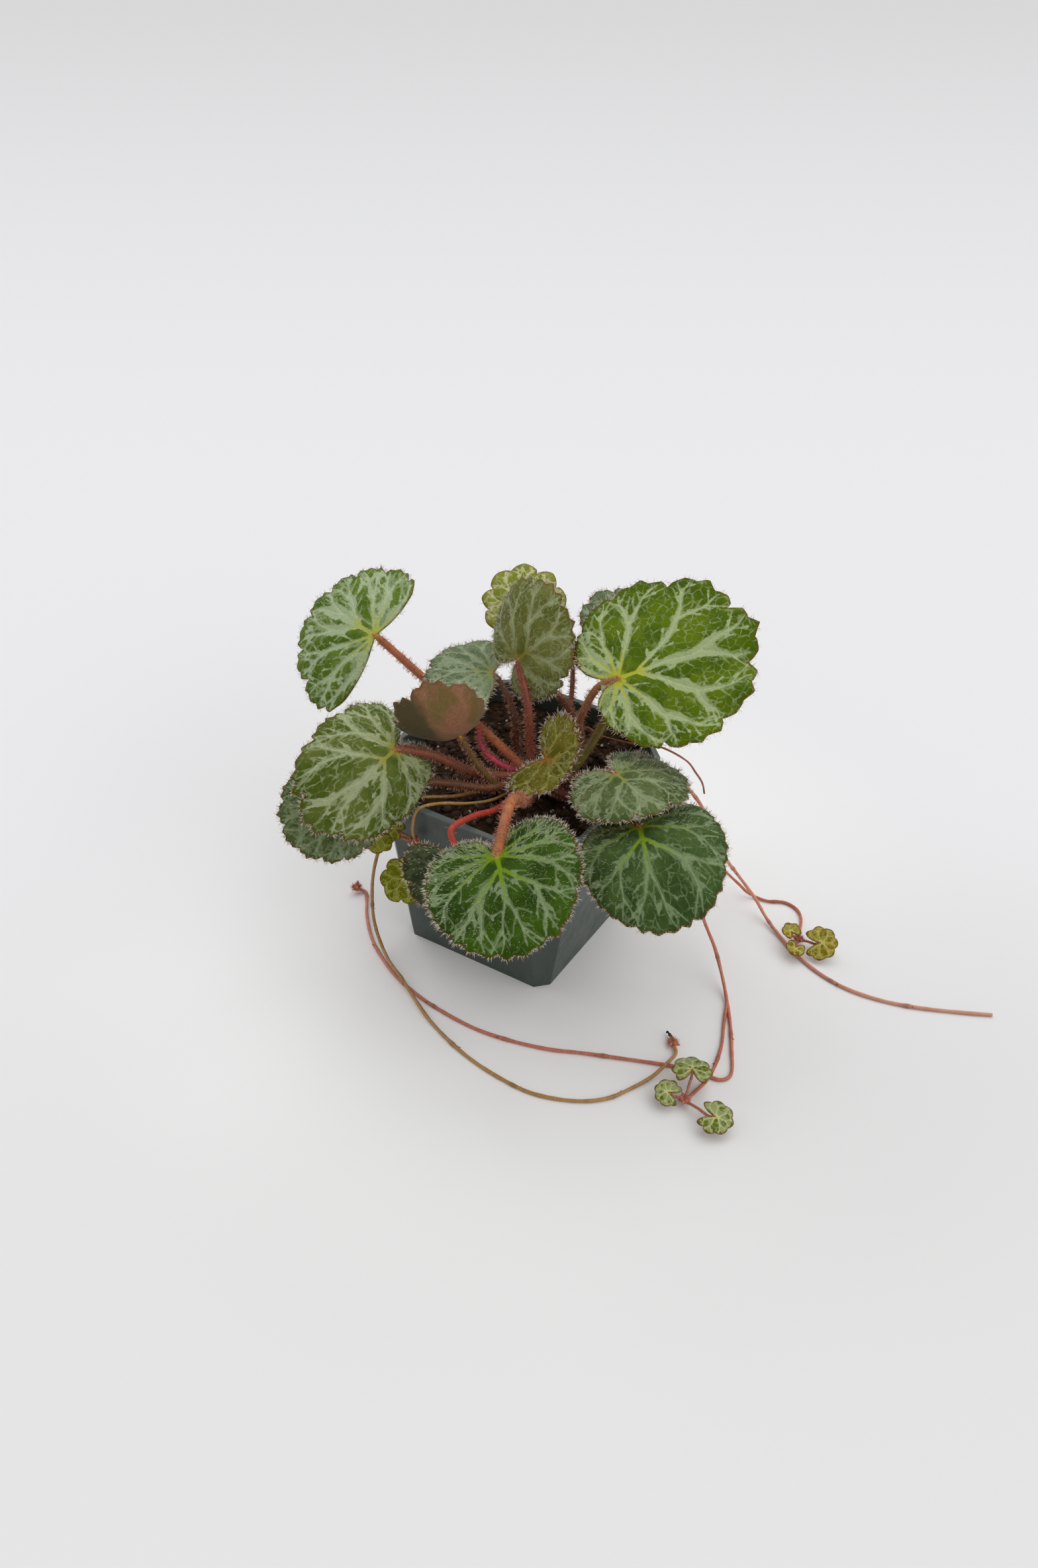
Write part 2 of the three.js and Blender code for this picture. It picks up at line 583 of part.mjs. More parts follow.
const runners = [
  { name: 'runner_front', colour: colours.runner, solids: [runnerSolid(frontRunner)] },
  {
    name: 'runner_right', colour: colours.runner,
    solids: [
      runnerSolid(rightRunner), runnerSolid(rightBranch), ...plantletStalks('front'),
      knob(endBud, END_BUD_RADIUS), ...budBlades(endBud),
    ],
  },
  { name: 'runner_back', colour: colours.runner, solids: [runnerSolid(backRunner)] },
  {
    name: 'runner_middle', colour: colours.runner,
    solids: [runnerSolid(middleRunner), ...plantletStalks('right')],
  },
  {
    name: 'runner_hanging', colour: colours.runner,
    solids: [runnerSolid(hangingRunner), ...plantletStalks('hanging')],
  },
  { name: 'runner_dry', colour: colours.dryRunner, solids: [runnerSolid(dryRunner, DRY_RADIUS)] },
];

// The room that a blade needs. A thicker patch of the same curve closes its notch, so that a
// stalk ends just beneath the blade and leaves no sliver between the notch's two edges.

// The room left free about a blade: the blade grown on every side, and the same again over the part
// just behind its joint, where the stalk ends.
function bladeClearance(leaf) {
  const grown = { ...leaf, size: leaf.size + 2 * GAP };
  const [fore, side, saddle, twist] = leaf.curl.map((value) => leaf.patch * value);
  const patch = {
    ...leaf, joint: leaf.joint.clone().addScaledVector(leafAxes(leaf).tip, GAP),
    heading: leaf.heading + 180, pitch: -leaf.pitch, roll: -leaf.roll,
    sinus: PATCH_TURN - leaf.sinus, size: leaf.patch * leaf.size, dome: leaf.patch * leaf.dome,
    curl: [-fore, -side, saddle, twist],
  };
  return solidOf(bladeGeometry(grown, BLADE_THICKNESS + 2 * GAP))
    .add(solidOf(bladeGeometry(patch, BLADE_THICKNESS + 4 * GAP)));
}

const leaves = [...rosette, ...plantletLeaves];
const crown = largest(cut(crownSolid(0), rosette.map(bladeClearance)).simplify(SLIVER));
const crownClearance = crownSolid(SOIL_GAP);
const dryEnd = knob(dryRunner[0], DRY_RADIUS + 2 * GAP);
const dryClearance = runnerSolid(dryRunner, DRY_RADIUS + SOIL_GAP).add(dryEnd);
const soil = cut(solidOf(soilGeometry()), [crownClearance, dryClearance]).simplify(SLIVER);

const plant = new THREE.Group();

function addMesh(name, geometry, colour, roughness) {
  const mesh = new THREE.Mesh(geometry, material(colour, roughness));
  mesh.name = name;
  plant.add(mesh);
}

addMesh('pot', potGeometry(), colours.pot, 0.5);
addMesh('soil', geometryFrom(soil), colours.soil, 1);
addMesh('crown_and_stalks', geometryFrom(crown), colours.stalk, 0.7);
for (const leaf of leaves) {
  addMesh(leaf.name, bladeGeometry(leaf, BLADE_THICKNESS), leaf.colour, 0.6);
}
for (const { name, colour, solids } of runners) {
  const clearances = [crownClearance, ...leaves.map(bladeClearance)];
  const runner = largest(cut(union(solids), clearances).simplify(SLIVER));
  addMesh(name, geometryFrom(runner), colour, 0.6);
}

export default plant;
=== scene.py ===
# Strawberry saxifrage in a square nursery pot: the looks built around its solids.
# Lengths in this script are millimetres, in the frame of the solids, until a mesh is made.
import json
import math
import random

import bpy
import numpy as np
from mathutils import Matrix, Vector
from mathutils.geometry import delaunay_2d_cdt

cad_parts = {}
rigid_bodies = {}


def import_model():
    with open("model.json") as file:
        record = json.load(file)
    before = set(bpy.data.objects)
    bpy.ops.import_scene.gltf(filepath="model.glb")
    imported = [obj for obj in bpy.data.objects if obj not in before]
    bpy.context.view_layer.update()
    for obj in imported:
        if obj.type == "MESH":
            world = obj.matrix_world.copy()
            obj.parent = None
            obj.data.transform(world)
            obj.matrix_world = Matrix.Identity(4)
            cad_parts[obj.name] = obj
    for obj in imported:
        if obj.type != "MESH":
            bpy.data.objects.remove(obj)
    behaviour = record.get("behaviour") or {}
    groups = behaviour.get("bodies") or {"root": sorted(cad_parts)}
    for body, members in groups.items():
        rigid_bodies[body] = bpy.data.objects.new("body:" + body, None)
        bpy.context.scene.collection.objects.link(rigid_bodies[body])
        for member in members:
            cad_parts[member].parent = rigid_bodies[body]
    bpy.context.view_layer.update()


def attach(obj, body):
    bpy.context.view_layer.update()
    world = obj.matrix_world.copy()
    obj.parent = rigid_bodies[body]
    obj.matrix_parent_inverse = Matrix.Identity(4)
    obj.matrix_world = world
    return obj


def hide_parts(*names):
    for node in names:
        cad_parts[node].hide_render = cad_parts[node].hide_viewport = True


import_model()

MM = 0.001
HAIR_SHARE = 1.0

# Driving dimensions, as in the solids
POT_HEIGHT = 76.3
POT_TOP_SIDE = 89.0
POT_BASE_SIDE = 63.6
POT_TOP_CHAMFER = 16.7
POT_BASE_CHAMFER = 4.5
POT_INNER = 2.2
POT_FLOOR = 2.3
SOIL_LEVEL = 70.0
CROWN = (10.0, -4.0, 72.0)
CROWN_RADIUS = 5.0
BLADE_THICKNESS = 0.6
RUNNER_RADIUS = 0.65

# Spacing of the corners in a blade's mesh
BLADE_GRID = 1.0

# A leaf's margin: its plain distance from the joint and how it draws in beside the stalk, then
# the step over which a blade's slope is measured
MARGIN_REACH = 0.84
SHOULDER_TURN = math.radians(26)
SHOULDER_REACH = 0.25
SLOPE_STEP = 0.25

# Hairs: how many to a millimetre or a square millimetre, and their radius at the root
MARGIN_HAIRS = 2.2
FACE_HAIRS = 0.16
STALK_HAIRS = 12.0
BARE_STALK_HAIRS = 1.5
YOUNG_STALK_HAIRS = 22.0
SMALL_STALK_HAIRS = 7
HUB_HAIRS = 110
MARGIN_HAIR_RADIUS = 0.085
FACE_HAIR_RADIUS = 0.07
STALK_HAIR_RADIUS = 0.09
HUB_HAIR_RADIUS = 0.07
SMALL_HAIR_RADIUS = 0.035
LARGE_LEAF = 12

# Parts of the stalks, the runners and their plantlets
STALK_DEPTH = 0.7
YOUNG_STALK_RADIUS = 1.3
CROWN_SCALES = 16
CROWN_SCALE_RING = 3.4
GOLDEN_TURN = 2.4
SMALL_STALK_RADIUS = 0.5
DRY_RADIUS = 0.38
SCALE_WIDTH = 1.3
HUB_SCALES = 9
HUB_RADIUS = 1.4
WITHERED_BITS = 7

# On the soil: material number, how many, and the smallest and largest size
BARK_CRUMBS = (1, 640, 0.4, 2.3)
GRIT_CRUMBS = (2, 60, 0.3, 1.1)
ROOT_FIBRES = 26

# Form of the soil: how far it lies below its level, its mound at the crown and its heap
SOIL_DIP = 1.5
SOIL_EDGE_DIP = 3
MOUND_HEIGHT = 1.2
HEAP_HEIGHT = 3.5
HEAP_PLACE = (14, 34)
SOIL_RINGS = 46
SOIL_SIDES = 180

# Stem and runner colours, as display values
HOT_PINK = (206, 62, 96)
CROWN_BROWN = (150, 78, 56)
OLIVE = (150, 108, 34)
RED = (186, 94, 68)
PINK = (212, 120, 92)
AMBER = (150, 120, 52)
DRY = (168, 104, 64)
SMALL_STALK_COLOUR = (158, 84, 52)
SCALE_COLOUR = (120, 58, 38)
HUB_COLOUR = (196, 104, 92)
HUB_TIP_COLOUR = (150, 52, 44)

# The camera, solved from the pot's edges, and the picture it was solved in
CAMERA_PLACE = (0.25097, -0.39573, 0.4221)
CAMERA_DOWN = 37.38
CAMERA_TURN = 32.31
SENSOR = 36.0
FOCAL_PIXELS = 2400.0
PICTURE_HEIGHT = 2368.0

# Even sky, three wide suns with their directions and strengths, and the floor's reach in metres
SKY_STRENGTH = 0.38
SUN_SPREAD = 60
SUNS = {"overhead_light": ((0.0, 0.5, 1.0), 0.9), "left_light": ((-0.9, 0.0, 0.75), 0.85),
        "right_light": ((0.9, -0.1, 0.7), 0.95)}
FLOOR_REACH = 12.0


def linear(red, green, blue):
    """Linear colour from 0 to 255 display values."""
    def one(value):
        value = value / 255
        return value / 12.92 if value <= 0.04045 else ((value + 0.055) / 1.055) ** 2.4
    return (one(red), one(green), one(blue), 1.0)


def from_polar(reach, angle):
    """Plane points at distances and angles from a joint."""
    return np.stack([reach * np.cos(angle), reach * np.sin(angle)], 1)


def to_polar(points):
    """Distances and angles of plane points from a joint."""
    return np.hypot(points[:, 0], points[:, 1]), np.arctan2(points[:, 1], points[:, 0])


def even_tint(colour, count):
    """The same linear colour for each corner of a line."""
    return np.tile(np.array(linear(*colour)[:3]), (count, 1))


# Leaves: where each is joined to its stalk, which way it faces, and its form
LEAF_DEFAULTS = dict(long=0.12, square=0.0, skew=0.0, curl=(0, 0, 0, 0), sinus=14, lobes=9, depth=0.07,
                     teeth=3, hairs=1.0, silver=1.2, rib=1.0, tooth=0.036,
                     look="fresh", slot="leaf_fresh")


def leaf(name, joint, heading, pitch, roll, size, dome, **more):
    """All values of one leaf, where it differs from the defaults."""
    values = dict(LEAF_DEFAULTS, name=name, joint=np.array(joint, float), heading=heading, pitch=pitch,
                  roll=roll, size=size, dome=dome)
    values.update(more)
    return values


ROSETTE = [
    leaf("blade_far_left", (-64.2, 2.4, 106), 178, -13, -40.5, 37.5, 0.27, long=0.02, skew=0.1, sinus=74,
         hairs=0.6, silver=1.8, look="pale", stalk=1.6, stem=(178, 102, 62),
         way=[(-15.3, -1, 84.5), (-43, 2.6, 94.6)]),
    leaf("blade_left", (-24.3, -41.5, 96), 272, 3, -42, 29.5, 0.55, long=0.15, square=0.13, skew=-0.06,
         curl=(-0.02, 0.04, -0.05, -0.03), teeth=4, hairs=1.4, silver=1.6, look="soft", stalk=1.7,
         stem=(142, 82, 58), way=[(-5.4, -18.3, 78.5), (-17.8, -30.6, 90)]),
    leaf("blade_low_left", (-35.2, -56.1, 75.6), 262, 22, -31, 22.5, 0.33, skew=-0.2, sinus=70, look="grey",
         slot="leaf_grey", hairs=1.5, stalk=1.4, stem=(122, 78, 50),
         way=[(1.9, -20, 76), (-15, -33, 80), (-23, -43.5, 81.5)]),
    leaf("blade_back_left", (-17.3, 11.3, 101), 205, -5, -6, 26, 0.25, long=0.14, skew=-0.2, sinus=76,
         silver=1.5, look="misty", slot="leaf_grey", stalk=1.2, stem=(96, 62, 42),
         way=[(-1.7, 2.8, 76), (-4.4, 4.5, 92)]),
    leaf("blade_centre", (-5.9, 9.6, 111.7), 4, -51, 64, 25.6, 0.37, long=0.15, square=-0.04, skew=0.22,
         curl=(0.02, 0, 0, 0.05), tooth=0.05, look="olive", slot="leaf_grey", hairs=1.8, stalk=1.5,
         stem=(150, 80, 60), way=[(4.4, 1.8, 80), (2.1, 3.5, 99)]),
    leaf("blade_back", (-33.5, 58, 99.5), 122, -40, 0, 19.5, 0.1, depth=0.12, teeth=1, look="lacy",
         slot="leaf_young", hairs=0.1, silver=0.5, rib=1.6, stalk=1.1, stem=(136, 86, 56),
         way=[(17, 17.5, 80), (6.9, 22.3, 90), (-0.8, 25.8, 92)]),
    leaf("blade_right", (33.1, 13, 115.3), 43, -16.5, 27, 35.2, 0.02, long=0.58, square=0.03, skew=0.04,
         curl=(0.02, 0, 0.04, -0.04), lobes=11, hairs=0.5, silver=1.6, stalk=1.5, stem=(150, 98, 54),
         way=[(19, 1.5, 86), (27.7, 9.2, 112)]),
    leaf("blade_back_right", (15.7, 59.4, 104), 165, -26, 0, 24, 0.1, look="misty", slot="leaf_grey",
         hairs=1.3, stalk=1.6, stem=(128, 122, 42), way=[(20.9, -0.7, 77), (23.6, 8.2, 82), (24, 30, 95)]),
    leaf("blade_curled", (-8.7, -24.2, 97.7), 289, -41, 34, 20, -0.67, long=0.2, square=0.09, skew=-0.13,
         look="olive", slot="leaf_underside", stalk=1.2, stem=(112, 90, 44),
         way=[(2.5, -16, 75), (-1.5, -20.5, 82)]),
    leaf("blade_young_centre", (18.5, -11.2, 90), 347, -8, 34, 16, 0, long=0.05, square=-0.2,
         curl=(0, 0, -0.25, 0), sinus=30, lobes=7, silver=0.7, tooth=0.13, look="brown",
         slot="leaf_young", hairs=1.8, stalk=1.0, stem=(170, 80, 70), way=[(14, -7, 80)]),
    leaf("blade_right_middle", (47.2, -11.4, 95), 334, -7, 8, 24.3, 0.33, long=0.13, square=-0.02,
         skew=0.11, curl=(0, 0, 0.11, -0.04), tooth=0.05, look="grey", slot="leaf_grey", hairs=2.0, stalk=1.4,
         stem=(136, 74, 52), way=[(24, -6, 79), (38, -9, 88)]),
    leaf("blade_right_low", (62.7, -22.1, 86), 307, -3, 14, 30.4, 0.42, long=0.2, square=0.05, skew=0.07,
         curl=(-0.02, 0, -0.13, -0.02), depth=0.025, teeth=4, hairs=1.3, tooth=0.024, look="blue",
         stalk=1.5, stem=(124, 66, 46), way=[(26, -11, 77), (45, -15, 82)]),
    leaf("blade_front", (33.1, -64.9, 90.2), 311, -4, 16, 34.5, 0.28, long=0.09, square=0.09,
         curl=(0, 0.02, -0.12, 0), lobes=11, depth=0.03, tooth=0.028, hairs=2.6, look="deep",
         stalk=1.9, stem=(186, 112, 70), way=[(16.5, -19, 77), (26.5, -46.6, 96)]),
    # Painted shade: this leaf's dark look stands in for the shadow it lies in under the front leaf
    leaf("blade_front_low", (13.4, -55.4, 72), 309, 60, 4, 21.5, 0.15, skew=-0.14, sinus=50, look="dark",
         slot="leaf_dark", stalk=1.2, stem=(206, 76, 62),
         way=[(9, -27.6, 74.5), (7.6, -41, 79.5), (6.4, -52.6, 80.5)]),
    leaf("blade_small_back", (-3, 44, 94), 132, -50, 0, 8, 0.2, lobes=7, look="brown",
         slot="leaf_underside", stalk=1.0, stem=(140, 86, 60), way=[(5, 20, 78), (3.7, 31.6, 85)]),
]


def small_leaf(hub, number, joint, heading, pitch, roll, size, dome=0.1, lobes=7, long=0):
    """A young leaf of the plantlet at a hub."""
    return leaf(f"plantlet_{hub}_blade_{number}", joint, heading, pitch, roll, size, dome, lobes=lobes,
                long=long, depth=0.12, teeth=1, look=PLANTLET_LOOKS[hub], slot="leaf_young", hairs=0.15,
                silver=0.35, rib=1.8, hub=hub)


PLANTLET_LOOKS = {"hanging": "lime", "right": "amber", "front": "young"}
PLANTLETS = [
    small_leaf("hanging", 1, (-18.2, -46.5, 44.5), 248, 41, -35, 10.3, long=0.2),
    small_leaf("hanging", 2, (-27, -50.3, 62), 239, 25, -31, 7.5),
    small_leaf("hanging", 3, (-21.5, -46.6, 64.8), 193, -19, -42, 4, lobes=5),
    small_leaf("right", 1, (110.3, 41.6, 6), 24, -8, 31, 8),
    small_leaf("right", 2, (98.4, 41.4, 6), 150, -15, -5, 4.5, dome=-0.3, lobes=5),
    small_leaf("right", 3, (103, 35.8, 4.6), 275, 4, -14, 4.6, lobes=5),
    small_leaf("front", 1, (99.5, -43.5, 8), 115, 6, 3, 8.5),
    small_leaf("front", 2, (96.4, -54.8, 5), 191, -12, -16, 6),
    small_leaf("front", 3, (115, -56.4, 5.6), 10, 6, 10, 7.8),
]
HUBS = {"hanging": (-14.9, -44.9, 61), "right": (101.3, 42.7, 2), "front": (101.8, -52.9, 2.2)}

# Runners: their ways over the rim and along the surface, as in the solids
LIE = 0.75
OVER = 2.75
FRONT_WAY = [
    (3, -11, 72.8), (-2, -18, 72.6), (-8, -27, 73), (-15, -37, 76), (-19.5, -43.5, 78.2), (-21.5, -46.6, 77),
    (-24, -46.4, 69), (-28, -44.4, 60), (-31.5, -43.7, 52), (-34, -45.5, 40), (-36.7, -44.5, 25),
    (-36.9, -44.2, 12), (-33.5, -46.2, 6), (-24.8, -51.8, 3), (-15, -57, OVER), (-4, -63, 1.6),
    (6, -68, 0.9), (24.2, -74.3, LIE), (40.9, -77, LIE), (55.4, -76.9, LIE), (70.5, -71.3, LIE),
    (78.5, -64.5, LIE), (82.8, -56.7, LIE), (86.6, -48.5, 1.3), (88.8, -40.1, OVER), (88.5, -34, 1.5),
    (85, -30, LIE),
]
RIGHT_WAY = [
    (17, -3, 73.6), (28, 2, 74), (38, 6, 77.6), (47, 8, 78.8), (58, 11, 68), (68, 11, 45), (75, 10.5, 25),
    (80.9, 10.7, 12), (86.6, 6.1, 5), (89.6, 2.8, 2.4), (92.6, -1.3, 1.1), (97, -8, LIE), (104, -20.6, LIE),
    (109.5, -33, LIE), (107.5, -36.4, LIE), (98, -37.2, LIE), (88.8, -40.1, LIE), (70.7, -47.1, LIE),
    (59, -51.8, LIE), (49, -56.2, LIE), (33.5, -60.3, LIE), (19.3, -61.9, LIE), (-2.6, -59.9, LIE),
    (-19.4, -55.2, LIE), (-28.7, -50.4, LIE), (-39.1, -43.5, LIE), (-49.1, -33.5, LIE),
    (-54.5, -26.3, LIE), (-57.8, -22.7, LIE), (-61.5, -23.8, 1.6),
]
BRANCH_WAY = [
    (92.6, -1.3, 1.1), (96, -10.5, LIE), (100.8, -22.8, LIE), (103.5, -37.5, LIE), (102.5, -45.7, LIE),
    HUBS["front"],
]
BACK_WAY = [
    (17, 0, 73.6), (28, 10, 74), (38, 18, 77.2), (47, 22, 78.8), (58, 31, 62), (66, 37, 42),
    (68.9, 40.6, 30), (72.5, 46.9, 18), (79.3, 49.9, 7), (85.2, 47.4, 2.6), (92.2, 43.1, 1.1),
    (103.5, 36.2, LIE), (116.4, 31.1, LIE), (127.5, 29.4, LIE), (139.5, 30.4, LIE), (151.9, 33.8, LIE),
    (169.2, 41.2, LIE), (177.6, 45.3, LIE),
]
MIDDLE_WAY = [
    (17, -1.5, 76), (28, 6, 76.6), (38, 12.5, 78.4), (47, 15.5, 79), (56, 27, 60), (60, 38, 35),
    (64.7, 51.3, 14), (69.4, 55.7, 6), (72.4, 57, 2.6), (75.8, 57.8, 1.1), (81, 58.5, LIE),
    (86.9, 61.3, LIE), (92.6, 60.2, LIE), (96.4, 56.2, LIE), (99.4, 47.7, LIE), HUBS["right"],
]
HANGING_WAY = [
    (7, -11, 73), (4, -22, 73), (-1, -32.5, 76), (-7.5, -40, 78.2), (-11.5, -46.2, 78.4), (-14, -46.9, 70),
    HUBS["hanging"],
]
DRY_WAY = [
    (7, 24, 64), (8.5, 26.5, 73), (12.5, 27.5, 78), (22.8, 23.1, 80.5), (35.8, 22.6, 82.5),
    (44.3, 26.1, 82.5), (53.9, 29.4, 78), (56, 34.4, 70), (56.7, 39.6, 62), (56.4, 42.9, 55),
]
END_BUD = (-61.5, -23.8, 1.7)

# Each runner: its tubes with their way, share of the full radius and colours at start and end,
# then the hub whose small stalks it carries and the places of its scaly knots
RUNNERS = {
    "runner_front": dict(tubes=[(FRONT_WAY, 1.0, OLIVE, (164, 126, 62))], knots=[FRONT_WAY[-1]]),
    "runner_right": dict(tubes=[(RIGHT_WAY, 1.0, RED, (196, 110, 100)), (BRANCH_WAY, 0.95, RED, RED)],
                         hub="front", knots=[HUBS["front"], END_BUD]),
    "runner_back": dict(tubes=[(BACK_WAY, 1.0, PINK, (208, 146, 124))]),
    "runner_middle": dict(tubes=[(MIDDLE_WAY, 0.9, RED, RED)], hub="right", knots=[HUBS["right"]]),
    "runner_hanging": dict(tubes=[(HANGING_WAY, 0.9, AMBER, AMBER)], hub="hanging",
                           knots=[HUBS["hanging"]]),
}


# Form of a leaf

def leaf_axes(values):
    """Directions of a leaf: toward its tip, toward its left side, and out of its upper face."""
    heading, pitch, roll = (math.radians(values[key]) for key in ("heading", "pitch", "roll"))
    ahead = np.array([math.cos(heading), math.sin(heading), 0])
    tip = math.cos(pitch) * ahead - np.array([0, 0, math.sin(pitch)])
    level = np.array([-math.sin(heading), math.cos(heading), 0])
    across = np.cross(tip, level)
    left = math.cos(roll) * level + math.sin(roll) * across
    return tip, left, np.cross(tip, left)


def half_angle(values):
    """Largest angle of the margin to either side of the tip."""
    return math.pi - math.radians(values["sinus"])


def margin_reach(values, angle, teeth=True):
    """Distance from the joint to the margin in a direction, with lobes and their small teeth."""
    half = half_angle(values)
    angle = np.asarray(angle, float)
    reach = (MARGIN_REACH + values["long"] * np.cos(angle) + values["square"] * np.cos(2 * angle)
             + values["skew"] * np.sin(angle))
    shoulder = np.clip((half - np.abs(angle)) / SHOULDER_TURN, 0, 1)
    reach = reach * (SHOULDER_REACH + (1 - SHOULDER_REACH) * np.sin(shoulder * math.pi / 2))
    place = (angle + half) / (2 * half) * values["lobes"]
    lobe = np.abs(np.sin(place * math.pi)) ** 0.6
    uneven = 1 + 0.45 * np.sin(2.3 * np.floor(place) + values["size"])
    reach = reach * (1 - values["depth"] * uneven * (1 - lobe))
    if teeth:
        count = values["teeth"]
        saw = 1 - np.abs(((place * count) % 1) * 2 - 1)
        height = values["tooth"] * (1 + 0.5 * np.sin(4.1 * np.floor(place * count) + values["heading"]))
        reach = reach * (1 + height * (saw ** 1.4 - 0.45) * np.clip(shoulder * 2, 0, 1))
    return values["size"] * reach


def surface(values, flat, relief=0.0):
    """Points of a blade's middle surface above plane points, toward its tip and its left side."""
    tip, left, face = leaf_axes(values)
    reach, angle = to_polar(flat)
    fore, side, saddle, twist = values["curl"]
    bend = (-values["dome"] + fore * np.cos(angle) + side * np.sin(angle)
            + saddle * np.cos(2 * angle) + twist * np.sin(2 * angle))
    lift = reach ** 2 / values["size"] * bend
    wave = 0.012 * values["size"] * (reach / values["size"]) ** 4 * np.sin(values["lobes"] * angle + 1)
    height = lift + wave + relief
    return (values["joint"] + np.multiply.outer(flat[:, 0], tip) + np.multiply.outer(flat[:, 1], left)
            + np.multiply.outer(height, face))


# Veins of a leaf

def ray(start, end, turn=0.5, steps=14, wobble=0.0, phase=0.0):
    """A vein from one (distance, angle) to another that turns early and then runs straight."""
    t = np.linspace(0, 1, steps)
    reach = start[0] + (end[0] - start[0]) * t
    angle = start[1] + (end[1] - start[1]) * t ** turn + wobble * np.sin(t * math.pi * 2.2 + phase) * t
    return from_polar(reach, angle)


def grow_veins(values, rng):
    """Vein lines of a leaf: points in its plane, half-widths of the silver band and of the rib."""
    half = half_angle(values)
    size = values["size"]
    count = values["lobes"]
    step = 2 * half / count
    middle = count // 2
    fork = 0.2 * size if count >= 9 else 0.1 * size
    veins = []

    def add(line, band_start, band_peak, band_end, rib_start, rib_end, peak=0.6):
        t = np.linspace(0, 1, len(line))
        rise = np.clip(t / peak, 0, 1)
        fall = np.clip((1 - t) / (1 - peak + 1e-6), 0, 1)
        band = np.where(t < peak, band_start + (band_peak - band_start) * rise ** 1.6,
                        band_end + (band_peak - band_end) * fall)
        veins.append((line, band * size, (rib_start + (rib_end - rib_start) * t) * size))

    def side_veins(line):
        """Thin pale veins that leave a larger one on alternate sides."""
        flip = rng.choice([-1, 1])
        for k in range(3, len(line) - 2, 2):
            flip = -flip
            ahead = line[k + 1] - line[k]
            lean = flip * rng.uniform(0.6, 1.0)
            turn = math.atan2(ahead[1], ahead[0]) + lean
            length = size * rng.uniform(0.1, 0.22)
            t = np.linspace(0, 1, 6)[:, None]
            way = np.array([math.cos(turn), math.sin(turn)])
            bow = np.array([-way[1], way[0]]) * -flip * 0.18
            points = line[k] + length * (t * way + t ** 2 * bow)
            span, bearing = to_polar(points)
            inside = span < 0.95 * margin_reach(values, bearing, teeth=False)
            inside &= np.abs(bearing) < half * 0.97
            if inside.sum() > 2:
                thin = rng.uniform(0.002, 0.006)
                veins.append((points[inside], np.full(inside.sum(), thin * size), np.zeros(inside.sum())))

    add(ray((0.0, 0.0), (fork, 0.0), steps=6), 0.004, 0.01, 0.01, 0.022, 0.014)
    for k in range(count):
        place = -half + (k + 0.5) * step + rng.uniform(-0.1, 0.1) * step
        edge = float(margin_reach(values, place, teeth=False)) * 0.96
        central = abs(k - middle) <= 1
        start = (fork, 0.0) if central else (0.0, place * 0.9)
        split = edge * rng.uniform(0.5, 0.68)
        weight = rng.uniform(0.5, 1.25)
        broad = (0.034 if central else 0.026) * weight * values["silver"]
        main = ray(start, (split, place), turn=0.45, wobble=0.03, phase=rng.uniform(0, 6))
        rib = (0.012 if central else 0.009) * values["rib"]
        add(main, 0.012, broad, broad * 0.85, rib, rib * 0.5, peak=0.7)
        side_veins(main)
        for side in (-1, 1):
            aim = place + side * step * rng.uniform(0.22, 0.4)
            end = float(margin_reach(values, aim, teeth=False)) * 0.97
            branch = ray((split, place), (end, aim), turn=0.75, wobble=0.03, phase=rng.uniform(0, 6))
            add(branch, broad * 0.8, broad * rng.uniform(0.4, 0.9), 0.003, rib * 0.5, 0.002, peak=0.25)
            side_veins(branch)
            knee = branch[len(branch) // 2 + 1]
            knee_at = (float(np.hypot(*knee)), math.atan2(knee[1], knee[0]))
            far = aim + side * step * rng.uniform(0.12, 0.25)
            reach = float(margin_reach(values, far, teeth=False)) * 0.97
            twig = ray(knee_at, (reach, far), turn=0.8, steps=8)
            add(twig, 0.006, 0.008, 0.002, rib * 0.3, rib * 0.1, peak=0.3)
    return veins


def gaps_to_parts(points, a, b):
    """Place along each straight part from a to b, and distance from it, for each point."""
    span = b - a
    length = (span ** 2).sum(1) + 1e-12
    t = np.clip(((points[:, None] - a) * span).sum(2) / length, 0, 1)
    return t, np.linalg.norm(points[:, None] - (a + t[..., None] * span), axis=2)


def nearest_on_lines(points, veins, column):
    """Largest of (half-width minus distance) over all lines, for bands (1) or ribs (2)."""
    best = np.full(len(points), -99.0)
    for vein in veins:
        line, width = vein[0], vein[column]
        if width.max() > 0:
            t, gap = gaps_to_parts(points, line[:-1], line[1:])
            worth = width[:-1] + (width[1:] - width[:-1]) * t - gap
            best = np.maximum(best, worth.max(1))
    return best


def distance_to_loop(points, loop):
    """Distance of each point from a closed line."""
    return gaps_to_parts(points, loop, np.roll(loop, -1, axis=0))[1].min(1)


# Meshes

